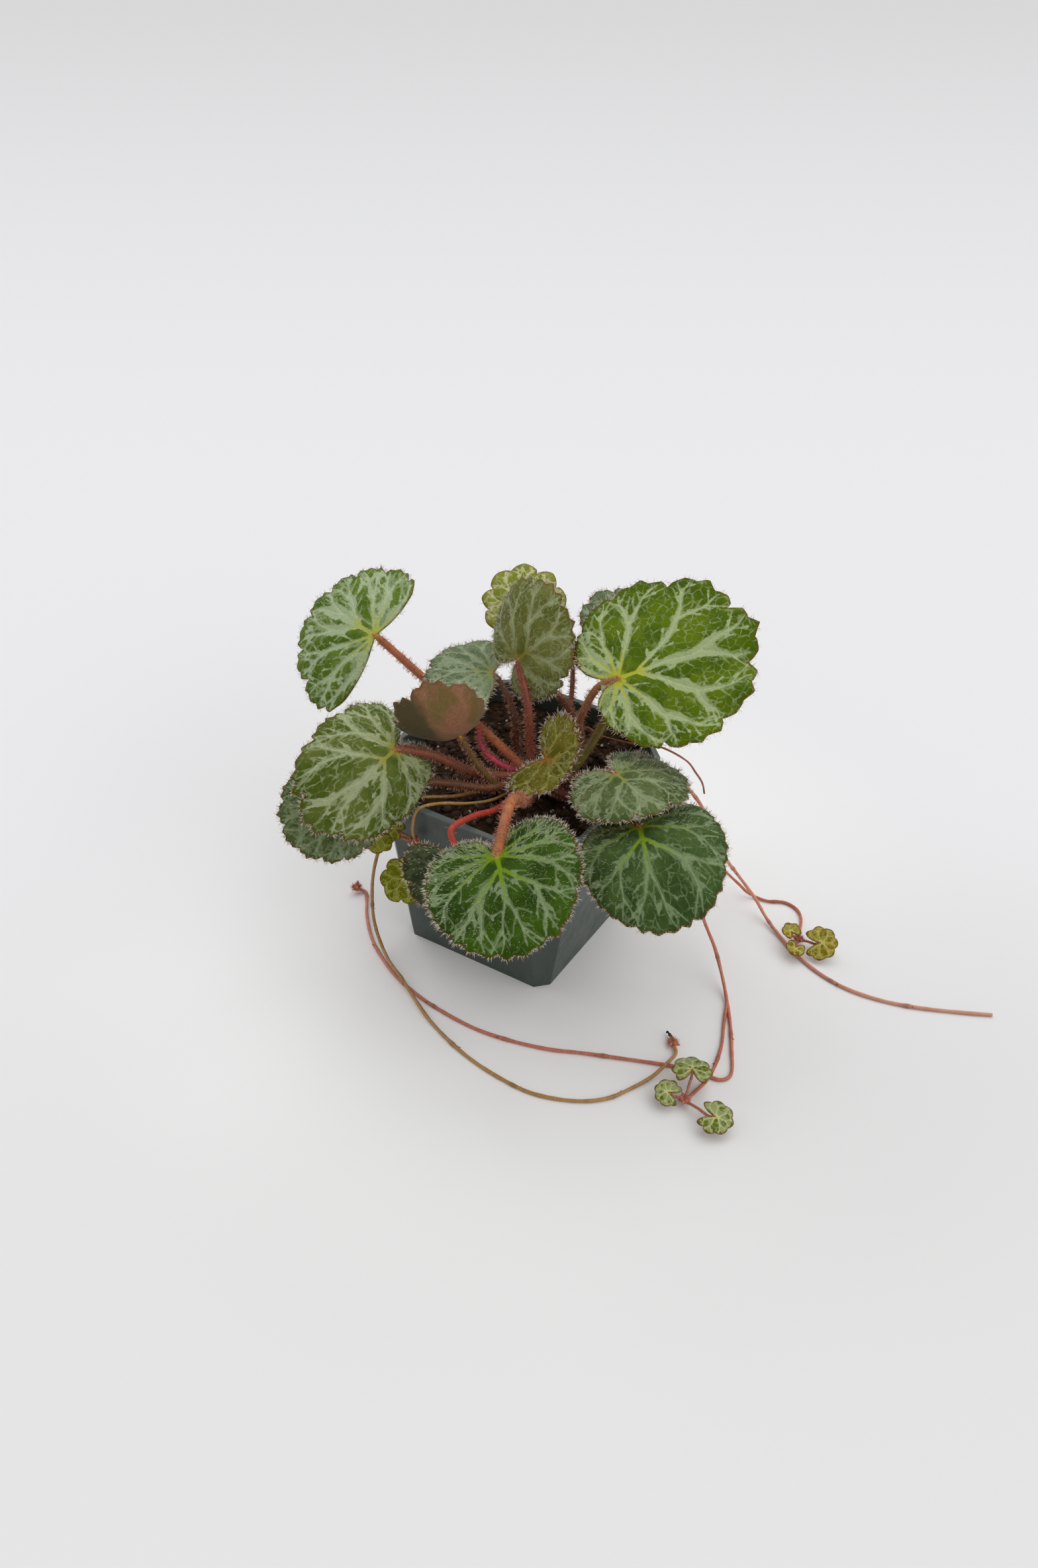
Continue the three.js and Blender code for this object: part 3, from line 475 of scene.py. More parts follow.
class Shell:
    """Corners, faces, material numbers and corner values that are gathered into one mesh."""

    def __init__(self):
        self.corners = []
        self.faces = []
        self.numbers = []
        self.values = {}
        self.count = 0

    def add(self, corners, faces, number=0, **values):
        corners = np.asarray(corners, float)
        for key in set(values) | set(self.values):
            old = self.values.get(key)
            if old is None:
                shape = np.shape(values[key])[1:] if key in values else ()
                old = [np.zeros((self.count,) + shape)] if self.count else []
                self.values[key] = old
            if key in values:
                old.append(np.asarray(values[key], float))
            else:
                old.append(np.zeros((len(corners),) + old[0].shape[1:]))
        self.corners.append(corners)
        self.faces.extend([tuple(int(i) + self.count for i in face) for face in faces])
        self.numbers.extend([number] * len(faces))
        self.count += len(corners)

    def build(self, name, materials):
        mesh = bpy.data.meshes.new(name)
        corners = np.concatenate(self.corners) * MM
        mesh.from_pydata(corners.tolist(), [], self.faces)
        for key, parts in self.values.items():
            data = np.concatenate(parts)
            kind = "FLOAT" if data.ndim == 1 else "FLOAT_VECTOR"
            layer = mesh.attributes.new(key, kind, "POINT")
            layer.data.foreach_set("value" if data.ndim == 1 else "vector", data.astype(np.float32).ravel())
        for one in materials:
            mesh.materials.append(one)
        mesh.polygons.foreach_set("material_index", self.numbers)
        mesh.polygons.foreach_set("use_smooth", [True] * len(mesh.polygons))
        mesh.update()
        piece = bpy.data.objects.new(name, mesh)
        bpy.context.scene.collection.objects.link(piece)
        return piece


def seat(piece, node):
    """Puts a piece on the root body in place of its node, and hides the node."""
    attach(piece, "root")
    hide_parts(node)


def smooth_way(points, spacing):
    """Points at even steps on a centripetal Catmull-Rom curve, with the distance along it."""
    knots = [np.array(p, float) for p in points]
    knots = [2 * knots[0] - knots[1]] + knots + [2 * knots[-1] - knots[-2]]
    line = []
    for i in range(1, len(knots) - 2):
        p0, p1, p2, p3 = knots[i - 1:i + 3]
        d0, d1, d2 = (max(np.linalg.norm(b - a) ** 0.5, 1e-4) for a, b in ((p0, p1), (p1, p2), (p2, p3)))
        t1 = ((p1 - p0) / d0 - (p2 - p0) / (d0 + d1) + (p2 - p1) / d1) * d1
        t2 = ((p2 - p1) / d1 - (p3 - p1) / (d1 + d2) + (p3 - p2) / d2) * d1
        for w in np.linspace(0, 1, 24, endpoint=False):
            line.append(p1 + t1 * w + (-3 * p1 + 3 * p2 - 2 * t1 - t2) * w ** 2
                        + (2 * p1 - 2 * p2 + t1 + t2) * w ** 3)
    line.append(knots[-2])
    line = np.array(line)
    run = np.concatenate([[0], np.cumsum(np.linalg.norm(np.diff(line, axis=0), axis=1))])
    count = max(4, int(run[-1] / spacing))
    even = np.linspace(0, run[-1], count + 1)
    return np.stack([np.interp(even, run, line[:, k]) for k in range(3)], 1), even


def tube_frames(line):
    """Two directions square to the line at each point, carried along without twist."""
    ahead = np.gradient(line, axis=0)
    ahead /= np.linalg.norm(ahead, axis=1)[:, None]
    first = np.cross(ahead[0], [0.3, 0.2, 1.0])
    sides = []
    for way in ahead:
        first = first - way * (first @ way)
        first /= np.linalg.norm(first)
        sides.append(first)
    sides = np.array(sides)
    return ahead, sides, np.cross(ahead, sides)


def ring_faces(rows, around):
    """Quads between rows of corners that each go once round."""
    faces = []
    for i in range(rows - 1):
        for j in range(around):
            k = (j + 1) % around
            faces.append((i * around + j, i * around + k, (i + 1) * around + k, (i + 1) * around + j))
    return faces


def around_line(turn, side, up):
    """Directions out of a line, at a turn from its side toward its upper direction."""
    return np.cos(turn)[:, None] * side + np.sin(turn)[:, None] * up


def place_along(run, first, second=0.0):
    """Texture places along a line, told apart by their first value."""
    return np.column_stack([np.full(len(run), float(first)), np.zeros(len(run)) + second, run])


def tube(shell, line, radii, sides, number, **values):
    """A closed round tube along a line of points."""
    _, side, up = tube_frames(line)
    turn = np.linspace(0, 2 * math.pi, sides, endpoint=False)
    rings = (line[:, None] + radii[:, None, None] * (np.cos(turn)[:, None] * side[:, None]
                                                     + np.sin(turn)[:, None] * up[:, None]))
    corners = np.concatenate([rings.reshape(-1, 3), line[:1], line[-1:]])
    n = len(line)
    faces = ring_faces(n, sides)
    start, end = n * sides, n * sides + 1
    for j in range(sides):
        k = (j + 1) % sides
        faces.append((start, k, j))
        faces.append((end, (n - 1) * sides + j, (n - 1) * sides + k))
    spread = {key: np.concatenate([np.repeat(data, sides, axis=0), data[:1], data[-1:]])
              for key, data in values.items()}
    shell.add(corners, faces, number, **spread)


def hairs(shell, roots, ways, lengths, rng, radius, number, droop=0.3):
    """Thin three-sided hairs that bend over a little, each one closed."""
    count = len(roots)
    if not count:
        return
    ways = ways / np.linalg.norm(ways, axis=1)[:, None]
    helper = np.array([rng.uniform(-1, 1) for _ in range(3 * count)]).reshape(-1, 3)
    side = np.cross(ways, helper)
    side /= np.linalg.norm(side, axis=1)[:, None] + 1e-9
    up = np.cross(ways, side)
    lengths = np.asarray(lengths)[:, None]
    middle = roots + ways * lengths * 0.55 + side * lengths * droop * 0.15
    end = roots + ways * lengths * 0.95 + side * lengths * droop * 0.6
    rings = []
    for centre, size in ((roots, radius), (middle, radius * 0.75)):
        for k in range(3):
            turn = 2 * math.pi * k / 3
            rings.append(centre + size * (math.cos(turn) * side + math.sin(turn) * up))
    corners = np.stack(rings + [end], 1).reshape(-1, 3)
    pattern = [(0, 2, 1), (0, 1, 4, 3), (1, 2, 5, 4), (2, 0, 3, 5), (3, 4, 6), (4, 5, 6), (5, 3, 6)]
    faces = [tuple(7 * i + j for j in face) for i in range(count) for face in pattern]
    shell.add(corners, faces, number)


def uniform_array(rng, low, high, count):
    """Random numbers drawn one after another from a seeded generator."""
    return np.array([rng.uniform(low, high) for _ in range(count)])


# Leaf blades

def blade_outline(values):
    """Flat outline of a blade, from its joint along one shoulder, round the margin and back."""
    half = half_angle(values)
    count = max(40, int(2 * half * values["size"] / (0.7 * BLADE_GRID)))
    angle = np.linspace(-half, half, count)
    reach = margin_reach(values, angle)
    rim = from_polar(reach, angle)
    flank = max(4, int(reach[0] / BLADE_GRID))
    t = np.linspace(0, 1, flank, endpoint=False)[:, None]
    return np.concatenate([t * rim[0], rim[:-1], rim[-1] * (1 - t)])


def blade_mesh_points(values, veins, outline):
    """Flat triangles of a blade whose edges follow its veins and its outline."""
    spots = [Vector(p) for p in outline]
    edges = [(i, (i + 1) % len(outline)) for i in range(len(outline))]
    keep_out = [outline]
    for line, _, _ in veins:
        length = np.linalg.norm(np.diff(line, axis=0), axis=1).sum()
        count = max(3, int(length / BLADE_GRID) + 1)
        t = np.linspace(0, 1, count)
        own = np.linspace(0, 1, len(line))
        fine = np.stack([np.interp(t, own, line[:, k]) for k in range(2)], 1)
        base = len(spots)
        spots.extend(Vector(p) for p in fine)
        edges.extend((base + i, base + i + 1) for i in range(count - 1))
        keep_out.append(fine)
    lowest, highest = outline.min(0), outline.max(0)
    rows = np.arange(lowest[1], highest[1], BLADE_GRID * 0.87)
    cells = []
    for k, row in enumerate(rows):
        columns = np.arange(lowest[0] + (k % 2) * BLADE_GRID / 2, highest[0], BLADE_GRID)
        cells.append(np.stack([columns, np.full(len(columns), row)], 1))
    cells = np.concatenate(cells)
    span, angle = to_polar(cells)
    inside = (np.abs(angle) < half_angle(values)) & (span < margin_reach(values, angle) - 0.4 * BLADE_GRID)
    cells = cells[inside]
    fixed = np.concatenate(keep_out)
    near = np.concatenate([np.linalg.norm(part[:, None] - fixed, axis=2).min(1)
                           for part in np.array_split(cells, max(1, len(cells) // 400))])
    cells = cells[near > 0.45 * BLADE_GRID]
    spots.extend(Vector(p) for p in cells)
    corners, _, faces, _, _, _ = delaunay_2d_cdt(spots, edges, [list(range(len(outline)))], 1, 1e-4)
    return np.array([tuple(p) for p in corners]), [tuple(face) for face in faces]


def blade(values, materials, seed):
    """A closed blade with puckered faces between its veins, fringed and dotted with hairs."""
    rng = random.Random(seed)
    size = values["size"]
    veins = grow_veins(values, rng)
    outline = blade_outline(values)
    flat, faces = blade_mesh_points(values, veins, outline)
    area = sum(np.cross(flat[f[1]] - flat[f[0]], flat[f[2]] - flat[f[0]]) for f in faces)
    if area < 0:
        faces = [face[::-1] for face in faces]
    parts = np.array_split(flat, 12)
    band, rib = (np.concatenate([nearest_on_lines(part, veins, column) for part in parts])
                 for column in (1, 2))
    edge = np.concatenate([distance_to_loop(part, outline) for part in parts])
    span = to_polar(flat)[0] / size
    pucker = 0.022 * size * (1 - np.exp(-np.maximum(-rib, 0) / (0.05 * size))) * np.clip(edge / 2, 0, 1)
    middle = surface(values, flat, pucker - 0.01 * size)
    out = np.cross(*(surface(values, flat + step) - surface(values, flat - step)
                     for step in SLOPE_STEP * np.eye(2)))
    out /= np.linalg.norm(out, axis=1)[:, None]
    thin = (BLADE_THICKNESS / 2) * (0.45 + 0.55 * np.clip(edge / 1.5, 0, 1))
    count = len(flat)
    place = np.column_stack([flat, np.full(count, float(seed * 13))])
    shared = dict(band=band, rib=rib, edge=edge, span=span, place=place)
    shell = Shell()
    both = {key: np.concatenate([data, data]) for key, data in shared.items()}
    corners = np.concatenate([middle + out * thin[:, None], middle - out * thin[:, None]])
    lower = [tuple(i + count for i in face[::-1]) for face in faces]
    sides = dict.fromkeys((a, b) for face in faces for a, b in zip(face, face[1:] + face[:1]))
    rim = [(b, a, a + count, b + count) for a, b in sides if (b, a) not in sides]
    shell.add(corners, faces, 0, **both)
    shell.faces.extend(lower + rim)
    shell.numbers.extend([1] * len(lower + rim))
    blade_hairs(shell, values, outline, rng)
    seat(shell.build(values["name"] + "_fine", materials), values["name"])


def blade_hairs(shell, values, outline, rng):
    """Pale hairs: a fringe round the margin, and longer sparse ones that lean to the tip on top."""
    tip, left, face = leaf_axes(values)
    amount = values["hairs"] * HAIR_SHARE
    loop = np.roll(outline, -1, axis=0) - outline
    length = np.linalg.norm(loop, axis=1)
    run = np.concatenate([[0], np.cumsum(length)])
    count = int(run[-1] * MARGIN_HAIRS * min(1.3, amount))
    spots = uniform_array(rng, 0, run[-1], count)
    index = np.clip(np.searchsorted(run, spots) - 1, 0, len(outline) - 1)
    part = ((spots - run[index]) / length[index])[:, None]
    flat = outline[index] + part * loop[index]
    outward = np.column_stack([loop[index, 1], -loop[index, 0]])
    outward /= np.linalg.norm(outward, axis=1)[:, None]
    roots = surface(values, flat * 0.995)
    spread = uniform_array(rng, -0.5, 0.5, count)[:, None]
    rise = uniform_array(rng, -0.6, 0.9, count)[:, None]
    ways = outward[:, :1] * tip + outward[:, 1:] * left
    ways = ways + spread * np.cross(face, ways) + rise * face
    scale = 1.0 if values["size"] > LARGE_LEAF else 0.5
    lengths = uniform_array(rng, 0.9, 2.5, count) * scale
    hairs(shell, roots, ways, lengths, rng, MARGIN_HAIR_RADIUS * scale, 2, droop=0.25)
    area = 2.6 * values["size"] ** 2
    count = int(area * FACE_HAIRS * amount)
    angle = uniform_array(rng, -half_angle(values), half_angle(values), count)
    share = uniform_array(rng, 0.02, 1, count) ** 0.4
    reach = margin_reach(values, angle) * share * 0.98
    roots = surface(values, from_polar(reach, angle)) + face * 0.2
    ways = (np.cos(angle)[:, None] * tip + np.sin(angle)[:, None] * left) * 0.8
    ways = ways + face * uniform_array(rng, 0.3, 0.8, count)[:, None]
    ways = ways + uniform_array(rng, -0.4, 0.4, count)[:, None] * left
    lengths = uniform_array(rng, 0.9, 1.9, count) * scale
    hairs(shell, roots, ways, lengths, rng, FACE_HAIR_RADIUS * scale, 2, droop=0.25)


# Materials

class Nodes:
    """Short calls that add linked shader nodes to one material."""

    def __init__(self, name):
        self.material = bpy.data.materials.new(name)
        self.material.use_nodes = True
        self.tree = self.material.node_tree
        self.surface = self.tree.nodes["Principled BSDF"]

    def node(self, kind, inputs=None, **settings):
        made = self.tree.nodes.new(kind)
        for key, value in settings.items():
            setattr(made, key, value)
        for key, value in (inputs or {}).items():
            self.feed(made.inputs[key], value)
        return made

    def feed(self, socket, value):
        if isinstance(value, bpy.types.NodeSocket):
            self.tree.links.new(value, socket)
        else:
            socket.default_value = value

    def object_place(self):
        return self.node("ShaderNodeTexCoord").outputs["Object"]

    def value(self, name):
        return self.node("ShaderNodeAttribute", attribute_name=name).outputs["Fac"]

    def vector(self, name):
        return self.node("ShaderNodeAttribute", attribute_name=name).outputs["Vector"]

    def math(self, operation, a, b=0.0, clamp=False):
        made = self.node("ShaderNodeMath", operation=operation, use_clamp=clamp)
        self.feed(made.inputs[0], a)
        self.feed(made.inputs[1], b)
        return made.outputs[0]

    def ramp(self, value, low, high, start=0.0, end=1.0):
        made = self.node("ShaderNodeMapRange", {"Value": value, "From Min": low, "From Max": high,
                                                "To Min": start, "To Max": end},
                         interpolation_type="SMOOTHSTEP")
        return made.outputs[0]

    def mix(self, share, *colours):
        """Mix of two colours, each one a socket, three display values or four linear ones."""
        made = self.node("ShaderNodeMix", data_type="RGBA")
        self.feed(made.inputs[0], share)
        for number, colour in zip((6, 7), colours):
            shown = isinstance(colour, tuple) and len(colour) == 3
            self.feed(made.inputs[number], linear(*colour) if shown else colour)
        return made.outputs[2]

    def times(self, a, b):
        return self.math("MULTIPLY", a, b)

    def plus(self, a, b):
        return self.math("ADD", a, b)

    def noise(self, where, scale, detail=3.0, rough=0.55):
        return self.node("ShaderNodeTexNoise", {"Vector": where, "Scale": scale, "Detail": detail,
                                                "Roughness": rough}).outputs["Fac"]

    def cells(self, where, scale, feature="F1"):
        return self.node("ShaderNodeTexVoronoi", {"Vector": where, "Scale": scale},
                         feature=feature).outputs["Distance"]

    def bump(self, height, strength, distance):
        made = self.node("ShaderNodeBump", {"Height": height, "Strength": strength, "Distance": distance})
        return made.outputs["Normal"]

    def finish(self, colour, roughness, normal=None, **more):
        self.feed(self.surface.inputs["Base Color"], colour)
        self.feed(self.surface.inputs["Roughness"], roughness)
        if normal is not None:
            self.feed(self.surface.inputs["Normal"], normal)
        for key, value in more.items():
            self.feed(self.surface.inputs[key.replace("_", " ")], value)
        return self.material


# Upper leaf faces: display colours of the two greens, the silver, the ribs and the spot at the
# joint. Then how much silver there is, how strong its net is, how far the rib colour spreads to
# its sides and toward the margin, how ragged the bands are, and the size of the net's cells
LOOK_DEFAULTS = dict(joint=(190, 140, 30), amount=0.9, net=0.5, glow=0.25, far=0.42, rag=1.0, cell=3.3)
LOOKS = {
    "fresh": dict(dark=(60, 86, 0), light=(94, 116, 6), silver=(180, 194, 146), rib=(180, 184, 56)),
    "pale": dict(dark=(70, 98, 14), light=(100, 124, 40), silver=(184, 200, 162), rib=(178, 186, 90)),
    "soft": dict(dark=(66, 84, 14), light=(96, 108, 44), silver=(172, 182, 142), rib=(158, 156, 70),
                 net=0.6),
    "deep": dict(dark=(30, 56, 0), light=(56, 84, 8), silver=(138, 156, 116), rib=(112, 142, 12),
                 joint=(196, 180, 30), amount=0.85, net=0.25, glow=0.45, far=0.66),
    "blue": dict(dark=(44, 66, 24), light=(70, 92, 44), silver=(134, 154, 114), rib=(124, 150, 30),
                 joint=(140, 130, 20), amount=0.85, net=0.6, glow=0.6, far=0.65),
    "grey": dict(dark=(64, 80, 38), light=(90, 104, 60), silver=(148, 162, 124), rib=(130, 138, 70),
                 amount=0.75, net=0.6),
    "misty": dict(dark=(84, 100, 66), light=(106, 120, 84), silver=(156, 170, 138), rib=(140, 146, 90),
                  amount=0.75),
    "olive": dict(dark=(82, 88, 26), light=(112, 116, 56), silver=(164, 172, 130), rib=(134, 124, 54),
                  amount=0.7, net=0.7),
    "brown": dict(dark=(76, 70, 8), light=(108, 100, 28), silver=(150, 150, 84), rib=(150, 100, 40),
                  joint=(190, 70, 40), amount=0.7, net=0.8, rag=0.4),
    # Painted shade: the dark look is the leaf colours made darker for the low front leaf that lies in shadow
    "dark": dict(dark=(44, 52, 30), light=(62, 70, 42), silver=(98, 108, 74), rib=(100, 104, 50),
                 amount=0.5),
    "young": dict(dark=(88, 98, 18), light=(118, 126, 40), silver=(204, 212, 160), rib=(206, 210, 140),
                  joint=(170, 120, 60), net=1.0, glow=0.12, rag=0.08, cell=2.2),
    "lacy": dict(dark=(116, 126, 34), light=(142, 150, 60), silver=(206, 206, 156), rib=(206, 204, 136),
                 joint=(170, 130, 60), net=0.7, rag=0.12, cell=4.0),
    "lime": dict(dark=(92, 100, 2), light=(118, 122, 10), silver=(180, 186, 90), rib=(176, 182, 80),
                 joint=(150, 120, 20), net=1.0, glow=0.12, rag=0.08, cell=2.2),
    "amber": dict(dark=(110, 96, 6), light=(140, 122, 22), silver=(206, 198, 110), rib=(206, 198, 112),
                  joint=(176, 110, 40), net=1.0, glow=0.12, rag=0.08, cell=2.2),
}


def upper_material(look):
    """Green leaf face with silver bands along its veins, a thin pale net and a brown-red edge."""
    values = {**LOOK_DEFAULTS, **LOOKS[look]}
    dark, light, silver, rib, joint = (values[key] for key in ("dark", "light", "silver", "rib", "joint"))
    amount, net, glow, far, rag = (values[key] for key in ("amount", "net", "glow", "far", "rag"))
    n = Nodes(f"leaf_{look}_top")
    place = n.vector("place")
    band, ribs, edge, span = (n.value(key) for key in ("band", "rib", "edge", "span"))
    broad = n.noise(place, 0.09, 2.0)
    fine = n.noise(place, 0.9, 4.0, 0.65)
    grain = n.noise(place, 3.5, 2.0)
    green = n.mix(n.ramp(broad, 0.35, 0.65), dark, light)
    green = n.mix(n.ramp(fine, 0.3, 0.75, 0.0, 0.45), green, light)
    jag = n.times(n.math("SUBTRACT", fine, 0.5), 1.9 * rag)
    slow = n.times(n.math("SUBTRACT", n.noise(place, 0.2, 2.0), 0.5), 3.2 * rag)
    ragged = n.plus(band, n.plus(jag, slow))
    thick = n.ramp(ragged, -0.02 - 0.08 * rag, 0.12 + 0.2 * rag)
    thin = n.ramp(band, -0.08 - 0.2 * rag, 0.05, 0.0, 0.55)
    silvery = n.math("MAXIMUM", thick, thin)
    warp = n.node("ShaderNodeVectorMath", operation="ADD")
    n.feed(warp.inputs[0], place)
    wander = n.node("ShaderNodeTexNoise", {"Vector": place, "Scale": 0.45, "Detail": 2.0})
    pull = n.node("ShaderNodeVectorMath", {"Scale": 2.2}, operation="SCALE")
    n.feed(pull.inputs[0], wander.outputs["Color"])
    n.feed(warp.inputs[1], pull.outputs[0])
    net_edges = n.cells(warp.outputs[0], 1 / values["cell"], "DISTANCE_TO_EDGE")
    lines = n.ramp(net_edges, 0.025, 0.085, 1.0, 0.0)
    gate = n.ramp(n.noise(place, 0.35, 1.0), 0.4, 0.6, 0.25, 1.0)
    outer = n.ramp(span, 0.25, 0.85, 0.4, 1.0)
    net_share = n.times(n.times(lines, gate), n.times(outer, net))
    silvery = n.math("MAXIMUM", silvery, net_share)
    mottled = n.times(silvery, n.ramp(grain, 0.25, 0.75, 0.72, 1.0))
    colour = n.mix(n.math("MULTIPLY", mottled, amount, True), green, silver)
    halo = n.times(n.ramp(ribs, -glow, 0.0), n.ramp(span, far * 0.4, far, 0.75, 0.0))
    colour = n.mix(halo, colour, rib)
    rib_share = n.ramp(ribs, -0.15, 0.12)
    rib_colour = n.mix(n.ramp(span, far * 0.4, far * 1.2), rib, silver)
    colour = n.mix(n.times(rib_share, 0.85), colour, rib_colour)
    colour = n.mix(n.ramp(span, 0.02, 0.14, 0.8, 0.0), colour, rib)
    colour = n.mix(n.ramp(span, 0.0, 0.06, 1.0, 0.0), colour, joint)
    colour = n.mix(n.ramp(edge, 0.05, 0.7, 0.8, 0.0), colour, (116, 70, 34))
    colour = n.mix(n.ramp(grain, 0.45, 0.8, 0.0, 0.3), colour, light)
    height = n.plus(n.times(fine, 0.6), n.times(lines, -0.4))
    height = n.plus(height, n.times(grain, 0.3))
    return n.finish(colour, n.ramp(grain, 0.2, 0.8, 0.45, 0.62), n.bump(height, 0.5, 0.0006),
                    Specular_IOR_Level=0.06)


def under_material(name, shaded_side):
    """Mauve-brown underside with pink speckles and green patches, darker on one side if told."""
    n = Nodes(name)
    place = n.vector("place")
    ribs, edge, span = (n.value(key) for key in ("rib", "edge", "span"))
    base = n.mix(n.ramp(n.noise(place, 0.1, 3.0), 0.42, 0.6), (152, 106, 74), (112, 98, 42))
    speckle = n.ramp(n.cells(place, 1.1), 0.22, 0.42, 1.0, 0.0)
    gate = n.ramp(n.noise(place, 0.5, 2.0), 0.4, 0.6)
    base = n.mix(n.times(speckle, n.times(gate, 0.7)), base, (142, 76, 66))
    base = n.mix(n.ramp(n.noise(place, 2.2, 3.0), 0.35, 0.7, 0.0, 0.5), base, (118, 62, 46))
    base = n.mix(n.ramp(ribs, -0.3, 0.1, 0.0, 0.25), base, (132, 110, 66))
    aside = n.node("ShaderNodeSeparateXYZ", {"Vector": place}).outputs[1]
    uneven = n.plus(aside, n.times(n.noise(place, 0.3, 2.0), 4.0))
    base = n.mix(n.ramp(uneven, -6.0, -1.5, shaded_side, 0.0), base, (66, 54, 10))
    base = n.mix(n.ramp(edge, 0.1, 1.0, 0.6, 0.0), base, (112, 70, 30))
    base = n.mix(n.ramp(span, 0.0, 0.12, 0.9, 0.0), base, (122, 100, 46))
    height = n.plus(n.noise(place, 1.2, 4.0), n.ramp(ribs, -0.3, 0.1))
    return n.finish(base, 0.55, n.bump(height, 0.3, 0.0004), Specular_IOR_Level=0.3, Sheen_Weight=0.15)


def young_under_material():
    """Olive-brown underside of a plantlet's leaf, with pale ribs and a red edge."""
    n = Nodes("leaf_under_young")
    place = n.vector("place")
    ribs, edge = n.value("rib"), n.value("edge")
    base = n.mix(n.noise(place, 0.4, 3.0), (120, 116, 52), (142, 96, 66))
    base = n.mix(n.ramp(ribs, -0.2, 0.1, 0.0, 0.6), base, (176, 160, 100))
    base = n.mix(n.ramp(edge, 0.1, 0.7, 0.9, 0.0), base, (150, 50, 40))
    return n.finish(base, 0.5, n.bump(n.noise(place, 1.5, 3.0), 0.2, 0.0003))


def hair_material(name, one, other):
    """Hair colour that wanders between two tints."""
    n = Nodes(name)
    where = n.object_place()
    colour = n.mix(n.noise(where, 900.0, 1.0), one, other)
    return n.finish(colour, 0.45, Specular_IOR_Level=0.4)


def stem_material():
    """Fleshy stem in its leaf's own colour, with darker drifts along it and a yellow-green far end."""
    n = Nodes("stalk_skin")
    place = n.vector("place")
    own = n.vector("own_colour")
    shade = n.mix(0.55, own, (70, 34, 18))
    colour = n.mix(n.ramp(n.noise(place, 0.09, 2.0), 0.35, 0.65, 0.0, 0.6), own, shade)
    colour = n.mix(n.ramp(n.noise(place, 1.4, 3.0), 0.4, 0.75, 0.0, 0.5), colour, shade)
    colour = n.mix(n.ramp(n.value("along"), 0.93, 1.0, 0.0, 0.9), colour, (176, 140, 40))
    return n.finish(colour, 0.42, n.bump(n.noise(place, 2.2, 3.0), 0.25, 0.0003), Specular_IOR_Level=0.3)


def runner_material():
    """Smooth runner whose colour each runner sets: olive, red or pinkish brown."""
    n = Nodes("runner_skin")
    place = n.vector("place")
    own = n.vector("own_colour")
    drifts = n.ramp(n.noise(place, 0.12, 3.0), 0.4, 0.65, 0.0, 0.4)
    dusk = n.mix(drifts, own, n.mix(0.5, own, (90, 44, 26)))
    colour = n.mix(n.ramp(n.noise(place, 1.6, 3.0), 0.4, 0.75, 0.1, 0.5), dusk, (216, 158, 116))
    return n.finish(colour, 0.38, n.bump(n.noise(place, 2.5, 3.0), 0.2, 0.0003), Specular_IOR_Level=0.5)


def soil_material():
    """Dark, matt peat with lighter fibres."""
    n = Nodes("peat")
    where = n.object_place()
    coarse = n.noise(where, 260.0, 5.0, 0.7)
    fine = n.noise(where, 1400.0, 3.0)
    colour = n.mix(n.ramp(coarse, 0.35, 0.7), (26, 16, 6), (72, 48, 26))
    colour = n.mix(n.ramp(fine, 0.55, 0.8, 0.0, 0.5), colour, (112, 82, 52))
    height = n.plus(coarse, n.times(fine, 0.4))
    return n.finish(colour, 0.9, n.bump(height, 0.9, 0.0012), Specular_IOR_Level=0.2)


def crumb_material(name, dark, light, roughness):
    """Mottled matt skin between two colours."""
    n = Nodes(name)
    where = n.object_place()
    colour = n.mix(n.ramp(n.noise(where, 420.0, 4.0, 0.7), 0.35, 0.68), dark, light)
    return n.finish(colour, roughness, n.bump(n.noise(where, 1500.0, 4.0), 0.6, 0.0005))


def pot_material():
    """Dark grey-green moulded plastic with faint upright flow marks, scuffs and a painted highlight along the
    rim.
    """
    n = Nodes("pot_plastic")
    where = n.object_place()
    streaky = n.node("ShaderNodeMapping", {"Vector": where, "Scale": (1.0, 1.0, 0.06)}).outputs[0]
    streaks = n.noise(streaky, 420.0, 4.0, 0.6)
    cloud = n.noise(where, 24.0, 3.0)
    dust = n.noise(where, 160.0, 5.0, 0.7)
    colour = n.mix(n.ramp(streaks, 0.3, 0.72), (58, 68, 62), (68, 78, 72))
    colour = n.mix(n.ramp(cloud, 0.35, 0.7, 0.0, 0.45), colour, (56, 68, 64))
    colour = n.mix(n.ramp(dust, 0.6, 0.8, 0.0, 0.2), colour, (112, 116, 104))
    height = n.node("ShaderNodeSeparateXYZ", {"Vector": where}).outputs[2]
    # Painted highlight: a paler band along the top of the rim stands in for light catching the lip
    rim = n.ramp(height, (POT_HEIGHT - 1.3) * MM, (POT_HEIGHT - 0.2) * MM)
    colour = n.mix(n.times(rim, 0.45), colour, (128, 140, 138))
    texture = n.plus(streaks, n.times(n.noise(where, 3200.0, 2.0), 0.5))
    return n.finish(colour, n.ramp(dust, 0.3, 0.8, 0.36, 0.56), n.bump(texture, 0.12, 0.0002),
                    Specular_IOR_Level=0.45)


def make_materials():
    """Every material by its short name."""
    made = {look: upper_material(look) for look in LOOKS}
    made.update({
        "under": under_material("leaf_under", 0.0),
        "under_curled": under_material("leaf_under_curled", 0.9),
        "under_young": young_under_material(),
        "leaf_hair": hair_material("leaf_hair", (236, 232, 214), (200, 188, 160)),
        "stalk_hair": hair_material("stalk_hair", (216, 166, 142), (178, 106, 80)),
        "stalk": stem_material(),
        "runner": runner_material(),
        "dry": crumb_material("dry_runner_skin", (120, 70, 42), (178, 112, 70), 0.6),
        "soil": soil_material(),
        "bark": crumb_material("bark_crumb", (30, 20, 14), (92, 62, 40), 0.85),
        "grit": crumb_material("pale_grit", (176, 168, 148), (224, 220, 206), 0.8),
        "pot": pot_material(),
    })
    return made


# Stalks and crown

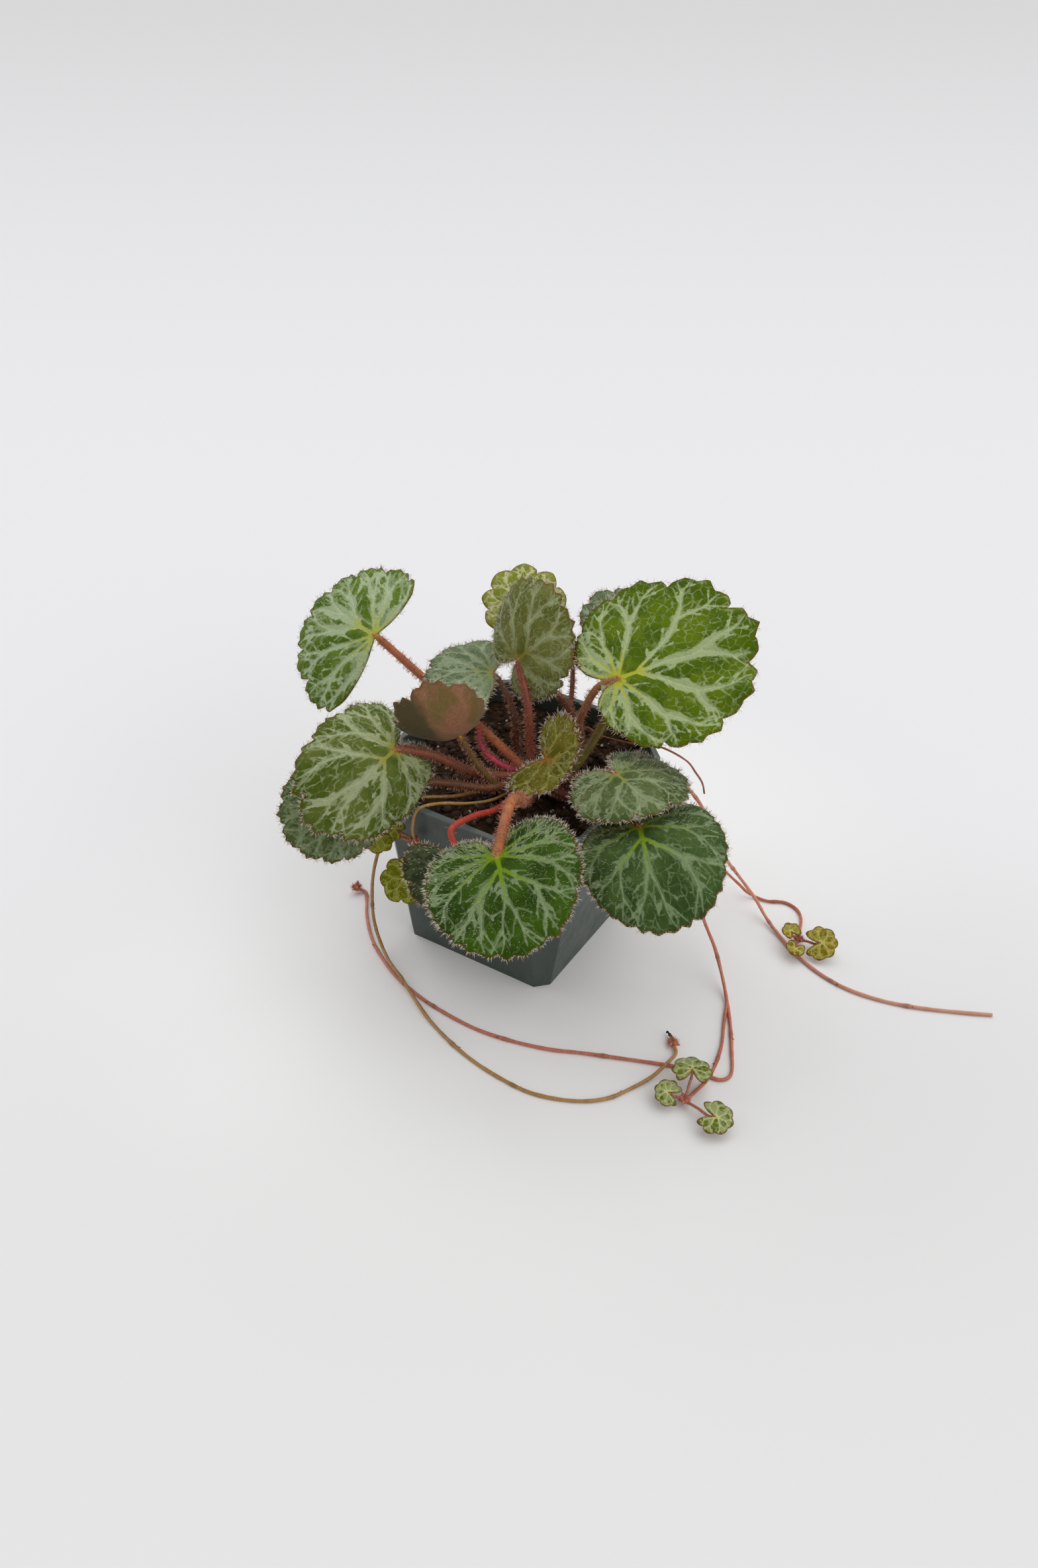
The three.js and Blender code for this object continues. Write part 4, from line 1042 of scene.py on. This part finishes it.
def crown_start(toward, radius):
    """Start of a stalk, inside the crown, on the side where the stalk leaves it."""
    out = np.array([toward[0] - CROWN[0], toward[1] - CROWN[1], 0.0])
    out /= np.linalg.norm(out)
    return np.array(CROWN) + out * CROWN_RADIUS * 0.3 + np.array([0, 0, radius])


def hairy_stem(shell, line, run, radii, rng, density, length, seed, colour, tinted=True):
    """A tapered stem with its hairs standing out all round."""
    along = run / run[-1] if tinted else np.zeros(len(line))
    tube(shell, line, radii, 12, 0, along=along, place=place_along(run, seed * 7.0),
         own_colour=even_tint(colour, len(line)))
    _, side, up = tube_frames(line)
    count = int(run[-1] * density * HAIR_SHARE)
    spots = uniform_array(rng, 0.02, 0.985, count) * run[-1]
    turn = uniform_array(rng, 0, 2 * math.pi, count)
    index = np.clip(np.searchsorted(run, spots), 1, len(run) - 1)
    share = ((spots - run[index - 1]) / (run[index] - run[index - 1]))[:, None]
    centre = line[index - 1] * (1 - share) + line[index] * share
    way = around_line(turn, side[index], up[index])
    roots = centre + way * (radii[index] * 0.9)[:, None]
    lean = uniform_array(rng, -0.35, 0.35, 3 * count).reshape(-1, 3)
    lengths = uniform_array(rng, 0.5, 1.0, count) * length
    hairs(shell, roots, way + lean, lengths, rng, STALK_HAIR_RADIUS, 1)


def crown_piece(materials):
    """The leaf stalks, the pink young stalk and a ring of scales, all rising from the crown."""
    rng = random.Random(5)
    shell = Shell()
    for index, values in enumerate(ROSETTE):
        way = values["way"]
        tip, _, face = leaf_axes(values)
        joint = values["joint"]
        ends = [joint - face * STALK_DEPTH, joint + tip * 0.06 * values["size"] - face * 0.6]
        line, run = smooth_way([crown_start(way[0], values["stalk"]), *way, *ends], 1.0)
        along = run / run[-1]
        last = 0.12 * values["size"]
        taper = 1.06 - 0.18 * along + 0.25 * np.exp(-run / 6)
        taper = taper * (0.25 + 0.75 * np.clip((run[-1] - run) / last, 0, 1) ** 0.7)
        density = BARE_STALK_HAIRS if values["name"] == "blade_front_low" else STALK_HAIRS
        hairy_stem(shell, line, run, values["stalk"] * taper, rng, density, 2.1, index, values["stem"])
    start = crown_start((-10, -8), YOUNG_STALK_RADIUS)
    line, run = smooth_way([start, (-4.6, -8.2, 78), (-12.6, -5.2, 81), (-14.7, -2.8, 85)], 1.0)
    radii = 1.5 - 0.7 * run / run[-1]
    hairy_stem(shell, line, run, radii, rng, YOUNG_STALK_HAIRS, 2.2, 20, HOT_PINK, tinted=False)
    for k in range(CROWN_SCALES):
        turn = k * GOLDEN_TURN
        lean = np.array([math.cos(turn), math.sin(turn), 0.0])
        base = np.array([CROWN[0], CROWN[1], SOIL_LEVEL - SOIL_EDGE_DIP]) + CROWN_SCALE_RING * lean
        top = base + lean * rng.uniform(1.2, 2.2) + (0, 0, rng.uniform(6, 8))
        line, run = smooth_way([base, base + lean * 1.3 + (0, 0, 4), top], 0.8)
        colour = HOT_PINK if k % 3 == 0 else CROWN_BROWN
        radii = 1.7 * (1.15 - 0.75 * run / run[-1])
        hairy_stem(shell, line, run, radii, rng, STALK_HAIRS, 1.7, 30 + k, colour, tinted=False)
    piece = shell.build("crown_and_stalks_fine", [materials["stalk"], materials["stalk_hair"]])
    seat(piece, "crown_and_stalks")


# Runners

def scale_leaf(shell, centre, way, out, length):
    """A small pointed scale that clasps a runner at one of its nodes."""
    side = np.cross(way, out)
    rows = []
    for t in np.linspace(0, 1, 5):
        half = SCALE_WIDTH * math.sin(math.pi * min(1, 0.25 + 0.75 * t)) * 0.5 + 0.03
        spine = centre + way * (t * length) + out * (0.15 + 0.35 * t ** 2 * length)
        rows.append([spine - side * half - out * 0.1, spine + out * 0.12, spine + side * half - out * 0.1])
    top = np.array(rows).reshape(-1, 3)
    low = top - out * 0.14
    corners = np.concatenate([top, low])
    faces = []
    n = len(top)
    for i in range(4):
        for j in range(2):
            a, b, c, d = i * 3 + j, i * 3 + j + 1, i * 3 + j + 4, i * 3 + j + 3
            faces.append((a, b, c, d))
            faces.append((a + n, d + n, c + n, b + n))
    ring = [0, 1, 2, 5, 8, 11, 14, 13, 12, 9, 6, 3]
    for a, b in zip(ring, ring[1:] + ring[:1]):
        faces.append((b, a, a + n, b + n))
    shell.add(corners, faces, 0, own_colour=even_tint(SCALE_COLOUR, 2 * n), place=corners)


def runner_tube(shell, points, radius, colours, rng, scales=True):
    """A runner with slight swellings, darker at its nodes, where small scale leaves clasp it."""
    line, run = smooth_way(points, 1.1)
    swell = 1 + 0.06 * np.sin(run * 0.31 + rng.uniform(0, 6)) + 0.04 * np.sin(run * 1.1)
    start, end = (np.array(linear(*colour)[:3]) for colour in colours)
    share = (run / run[-1])[:, None]
    tints = start * (1 - share) + end * share
    radii = radius * swell
    spots = []
    at = rng.uniform(18, 30)
    while scales and at < run[-1] - 6:
        spots.append(at)
        at += rng.uniform(26, 46)
    for spot in spots:
        radii = radii * (1 + 0.28 * np.exp(-((run - spot) / 1.1) ** 2))
        tints = tints * (1 - 0.45 * np.exp(-((run - spot) / 1.5) ** 2))[:, None]
    place = place_along(run, rng.uniform(0, 90), line[:, 2] * 0.1)
    tube(shell, line, radii, 10, 0, own_colour=tints, place=place)
    ahead, side, up = tube_frames(line)
    for spot in spots:
        k = int(np.clip(np.searchsorted(run, spot), 1, len(run) - 2))
        out = side[k] if abs(side[k][2]) < abs(up[k][2]) else up[k]
        out = out * (1 if out[2] > 0 or line[k][2] > 3 else -1)
        scale_leaf(shell, line[k], ahead[k], out, rng.uniform(2.2, 3.4))


def hub_piece(shell, centre, rng):
    """Reddish knot of small hairy bud scales where a plantlet grows from its runner."""
    centre = np.array(centre)
    for k in range(HUB_SCALES):
        turn = k * GOLDEN_TURN
        out = np.array([math.cos(turn), math.sin(turn), 0.25 + 0.11 * k])
        out /= np.linalg.norm(out)
        tip_point = centre + out * rng.uniform(2.0, 3.2)
        tip_point[2] = max(tip_point[2], 0.5)
        line, run = smooth_way([centre - out * 0.3, (centre + tip_point) / 2 + (0, 0, 0.2), tip_point], 0.4)
        radii = 1.1 * (1 - 0.8 * (run / run[-1]) ** 1.5)
        tint = even_tint(HUB_TIP_COLOUR if k > 5 else HUB_COLOUR, len(line))
        tube(shell, line, radii, 8, 0, own_colour=tint, place=line)
    ways = uniform_array(rng, -1, 1, 3 * HUB_HAIRS).reshape(-1, 3)
    ways[:, 2] = np.abs(ways[:, 2])
    ways /= np.linalg.norm(ways, axis=1)[:, None]
    lengths = uniform_array(rng, 0.9, 2.1, HUB_HAIRS)
    hairs(shell, centre + ways * HUB_RADIUS, ways, lengths, rng, HUB_HAIR_RADIUS, 1)


def plantlet_stalks(shell, hub, rng):
    """The short hairy stalks from a plantlet's hub to just behind and under its leaves."""
    centre = np.array(HUBS[hub])
    for values in PLANTLETS:
        if values["hub"] != hub:
            continue
        tip, _, face = leaf_axes(values)
        under = values["joint"] - tip * 0.25 * values["size"] - face * 1.2
        points = [centre, (centre + under) / 2 + (0, 0, 0.4), under, values["joint"] - face * 0.15]
        line, run = smooth_way(points, 0.7)
        tube(shell, line, np.full(len(line), SMALL_STALK_RADIUS), 8, 0,
             own_colour=even_tint(SMALL_STALK_COLOUR, len(line)),
             place=place_along(run, rng.uniform(0, 90)))
        _, side, up = tube_frames(line)
        count = int(run[-1] * SMALL_STALK_HAIRS)
        pick = np.array([rng.randrange(len(line)) for _ in range(count)])
        turn = uniform_array(rng, 0, 2 * math.pi, count)
        way = around_line(turn, side[pick], up[pick])
        roots = line[pick] + way * 0.9 * SMALL_STALK_RADIUS
        hairs(shell, roots, way, uniform_array(rng, 0.4, 0.9, count), rng, SMALL_HAIR_RADIUS, 1)


def withered_leaf(shell, end, rng):
    """Dark crumpled bits beyond the end of a runner."""
    for k in range(WITHERED_BITS):
        spot = np.array(end) + (-1.6 * k * 0.4, 1.2 + 0.35 * k, 0.7 + 0.1 * (k % 3))
        crumb(shell, spot, rng.uniform(0.35, 0.7), rng, 2)


def runner_pieces(materials):
    """Every runner with what grows on it, then the dry one."""
    rng = random.Random(11)
    for name, values in RUNNERS.items():
        skins = [materials["runner"], materials["stalk_hair"]]
        shell = Shell()
        for points, share, start, end in values["tubes"]:
            runner_tube(shell, points, RUNNER_RADIUS * share, (start, end), rng)
        if "hub" in values:
            plantlet_stalks(shell, values["hub"], rng)
        for knot in values.get("knots", []):
            hub_piece(shell, knot, rng)
        if name == "runner_front":
            withered_leaf(shell, FRONT_WAY[-1], rng)
            skins.append(materials["bark"])
        seat(shell.build(name + "_fine", skins), name)
    shell = Shell()
    runner_tube(shell, DRY_WAY, DRY_RADIUS, (DRY, DRY), rng, scales=False)
    seat(shell.build("runner_dry_fine", [materials["dry"]]), "runner_dry")


# Pot and soil

def pot_outline(side, chamfer):
    """Corners of a square with its own corners cut off."""
    h, c = side / 2, chamfer
    return np.array([[h - c, -h], [h, c - h], [h, h - c], [h - c, h], [c - h, h], [-h, h - c], [-h, c - h],
                     [c - h, -h]])


def pot_section(z, inset):
    """Outline of the pot at a height, moved inward by an inset."""
    t = z / POT_HEIGHT
    side = POT_BASE_SIDE + (POT_TOP_SIDE - POT_BASE_SIDE) * t
    chamfer = POT_BASE_CHAMFER + (POT_TOP_CHAMFER - POT_BASE_CHAMFER) * t
    return pot_outline(side - 2 * inset, chamfer - inset * (2 - math.sqrt(2)))


def inner_limit(angle, z):
    """Distance from the pot's axis to its inner wall in each direction."""
    corners = pot_section(z, POT_INNER)
    nexts = np.roll(corners, -1, axis=0)
    ways = np.stack([np.cos(angle), np.sin(angle)], 1)
    best = np.full(len(angle), 1e9)
    for a, b in zip(corners, nexts):
        out = np.array([b[1] - a[1], a[0] - b[0]])
        out /= np.linalg.norm(out)
        facing = ways @ out
        best = np.where(facing > 1e-6, np.minimum(best, (a @ out) / np.maximum(facing, 1e-6)), best)
    return best


def soil_height(x, y):
    """Top of the soil: a mound at the crown, small lumps and a heap at the back corner."""
    mound = MOUND_HEIGHT * np.exp(-(((x - CROWN[0]) ** 2 + (y - CROWN[1]) ** 2) / 350))
    lumps = 0.5 * np.sin(0.42 * x + 1.3) * np.sin(0.37 * y) + 0.35 * np.sin(0.9 * x + 0.7 * y)
    heap = HEAP_HEIGHT * np.exp(-(((x - HEAP_PLACE[0]) ** 2 + (y - HEAP_PLACE[1]) ** 2) / 160))
    return SOIL_LEVEL - SOIL_DIP + mound + lumps + heap


def crumb(shell, centre, size, rng, number):
    """An uneven lump of a few rings, flattened a little."""
    rings, sides = 4, 7
    stretch = np.array([rng.uniform(0.7, 1.4), rng.uniform(0.7, 1.3), rng.uniform(0.5, 0.9)]) * size
    spin = rng.uniform(0, math.pi)
    corners = [(0, 0, -1.0)]
    for i in range(1, rings):
        tilt = math.pi * i / rings
        for j in range(sides):
            turn = 2 * math.pi * j / sides
            out = rng.uniform(0.72, 1.12)
            corners.append((out * math.sin(tilt) * math.cos(turn), out * math.sin(tilt) * math.sin(turn),
                            -out * math.cos(tilt)))
    corners.append((0, 0, 1.0))
    corners = np.array(corners) * stretch
    turned = corners.copy()
    turned[:, 0] = corners[:, 0] * math.cos(spin) - corners[:, 1] * math.sin(spin)
    turned[:, 1] = corners[:, 0] * math.sin(spin) + corners[:, 1] * math.cos(spin)
    faces = []
    last = len(corners) - 1
    for j in range(sides):
        k = (j + 1) % sides
        faces.append((0, 1 + k, 1 + j))
        for i in range(rings - 2):
            a = 1 + i * sides
            faces.append((a + j, a + k, a + sides + k, a + sides + j))
        faces.append((last, last - sides + j, last - sides + k))
    shell.add(turned + np.asarray(centre), faces, number)


def root_fibre(shell, rng):
    """A thin bent fibre that lies on the soil."""
    turn = rng.uniform(0, 2 * math.pi)
    far = rng.uniform(4, 34)
    x, y = far * math.cos(turn), far * math.sin(turn)
    heading = rng.uniform(0, 2 * math.pi)
    length = rng.uniform(4, 11)
    points = []
    for t in (-0.5, -0.15, 0.2, 0.5):
        px = x + length * t * math.cos(heading) + rng.uniform(-0.5, 0.5)
        py = y + length * t * math.sin(heading) + rng.uniform(-0.5, 0.5)
        scale = min(1.0, 36 / max(math.hypot(px, py), 1e-6))
        px, py = px * scale, py * scale
        points.append((px, py, float(soil_height(px, py)) + rng.uniform(0.2, 0.9)))
    line, _ = smooth_way(points, 0.9)
    tube(shell, line, np.full(len(line), rng.uniform(0.12, 0.35)), 6, 1)


def soil_piece(materials):
    """The soil as one closed heap inside the pot, with crumbs, grit and fibres on it."""
    rng = random.Random(3)
    shell = Shell()
    rings, around = SOIL_RINGS, SOIL_SIDES
    angle = np.linspace(0, 2 * math.pi, around, endpoint=False)
    low = inner_limit(angle, POT_FLOOR)
    high = inner_limit(angle, SOIL_LEVEL - SOIL_EDGE_DIP)
    corners = [np.column_stack([low * np.cos(angle), low * np.sin(angle), np.full(around, POT_FLOOR)])]
    for f in np.linspace(1, 1 / rings, rings):
        x, y = f * high * np.cos(angle), f * high * np.sin(angle)
        rough = uniform_array(rng, -0.45, 0.45, around)
        corners.append(np.column_stack([x, y, soil_height(x, y) + rough]))
    corners.append(np.array([[0, 0, soil_height(0.0, 0.0)], [0, 0, POT_FLOOR]]))
    corners = np.concatenate(corners)
    faces = ring_faces(rings + 1, around)
    top, bottom = len(corners) - 2, len(corners) - 1
    for j in range(around):
        k = (j + 1) % around
        faces.append((rings * around + j, rings * around + k, top))
        faces.append((bottom, k, j))
    shell.add(corners, faces, 0)
    for number, count, small, large in (BARK_CRUMBS, GRIT_CRUMBS):
        for _ in range(count):
            turn = rng.uniform(0, 2 * math.pi)
            size = small + (large - small) * rng.random() ** 2
            far = rng.random() ** 0.5 * (float(inner_limit(np.array([turn]), SOIL_LEVEL)[0]) - 2.2)
            x, y = far * math.cos(turn), far * math.sin(turn)
            crumb(shell, (x, y, float(soil_height(x, y)) + 0.25 * size), size, rng, number)
    for _ in range(ROOT_FIBRES):
        root_fibre(shell, rng)
    piece = shell.build("soil_fine", [materials["soil"], materials["bark"], materials["grit"]])
    seat(piece, "soil")


def dress_pot(materials):
    """The pot keeps its own solid and gets the plastic."""
    for thing in bpy.data.objects:
        if thing.type == "MESH" and thing.name == "pot":
            thing.data.materials.clear()
            thing.data.materials.append(materials["pot"])


# Stage

def set_stage():
    """Pale floor with painted light and shade, soft studio light and the camera at the photograph's viewing
    angle.
    """
    floor_mesh = bpy.data.meshes.new("floor")
    reach = FLOOR_REACH
    floor_mesh.from_pydata([(-reach, -reach, 0), (reach, -reach, 0), (reach, reach, 0), (-reach, reach, 0)],
                           [], [(0, 1, 2, 3)])
    floor = bpy.data.objects.new("floor", floor_mesh)
    bpy.context.scene.collection.objects.link(floor)
    n = Nodes("floor_pale")
    where = n.object_place()
    away = n.node("ShaderNodeVectorMath", operation="DOT_PRODUCT")
    n.feed(away.inputs[0], where)
    turn = math.radians(CAMERA_TURN)
    n.feed(away.inputs[1], (-math.sin(turn), math.cos(turn), 0.0))
    # Painted light and shade on the floor: a little lighter just behind the plant, then darker far from the
    # camera
    near = n.ramp(away.outputs["Value"], -0.15, 0.1)
    far = n.ramp(away.outputs["Value"], 0.2, 1.9)
    colour = n.mix(near, (230, 230, 230), (236, 236, 238))
    colour = n.mix(far, colour, (216, 216, 217))
    # Painted light: the floor round the pot is made paler, lightening the shadow the plant casts there
    spread = n.node("ShaderNodeVectorMath", {"Vector": where}, operation="LENGTH").outputs["Value"]
    colour = n.mix(n.ramp(spread, 0.05, 0.2, 0.85, 0.0), colour, (0.97, 0.97, 0.965, 1.0))
    floor_mesh.materials.append(n.finish(colour, 0.8, Specular_IOR_Level=0.05))

    world = bpy.data.worlds.new("studio")
    world.use_nodes = True
    sky = world.node_tree.nodes["Background"]
    sky.inputs["Color"].default_value = (1.0, 1.0, 1.0, 1.0)
    sky.inputs["Strength"].default_value = SKY_STRENGTH
    bpy.context.scene.world = world
    bpy.context.scene.view_settings.view_transform = "Standard"

    for name, (source, strength) in SUNS.items():
        light = bpy.data.lights.new(name, "SUN")
        light.energy = strength
        light.angle = math.radians(SUN_SPREAD)
        lamp = bpy.data.objects.new(name, light)
        lamp.rotation_euler = Vector(source).to_track_quat("Z", "Y").to_euler()
        bpy.context.scene.collection.objects.link(lamp)

    lens = bpy.data.cameras.new("camera")
    camera = bpy.data.objects.new("camera", lens)
    lens.lens = SENSOR * FOCAL_PIXELS / PICTURE_HEIGHT
    lens.sensor_width = SENSOR
    lens.sensor_fit = "AUTO"
    lens.clip_start = 0.01
    camera.location = CAMERA_PLACE
    camera.rotation_euler = (math.radians(90 - CAMERA_DOWN), 0, math.radians(CAMERA_TURN))
    bpy.context.scene.collection.objects.link(camera)
    bpy.context.scene.camera = camera


def build():
    """Makes every piece in its fixed order, then the stage."""
    materials = make_materials()
    dress_pot(materials)
    soil_piece(materials)
    crown_piece(materials)
    runner_pieces(materials)
    for index, values in enumerate(ROSETTE + PLANTLETS):
        under = materials["under_young" if values["size"] < 10 else "under"]
        if values["name"] == "blade_curled":
            under = materials["under_curled"]
        blade(values, [materials[values["look"]], under, materials["leaf_hair"]], index + 1)
    set_stage()


build()
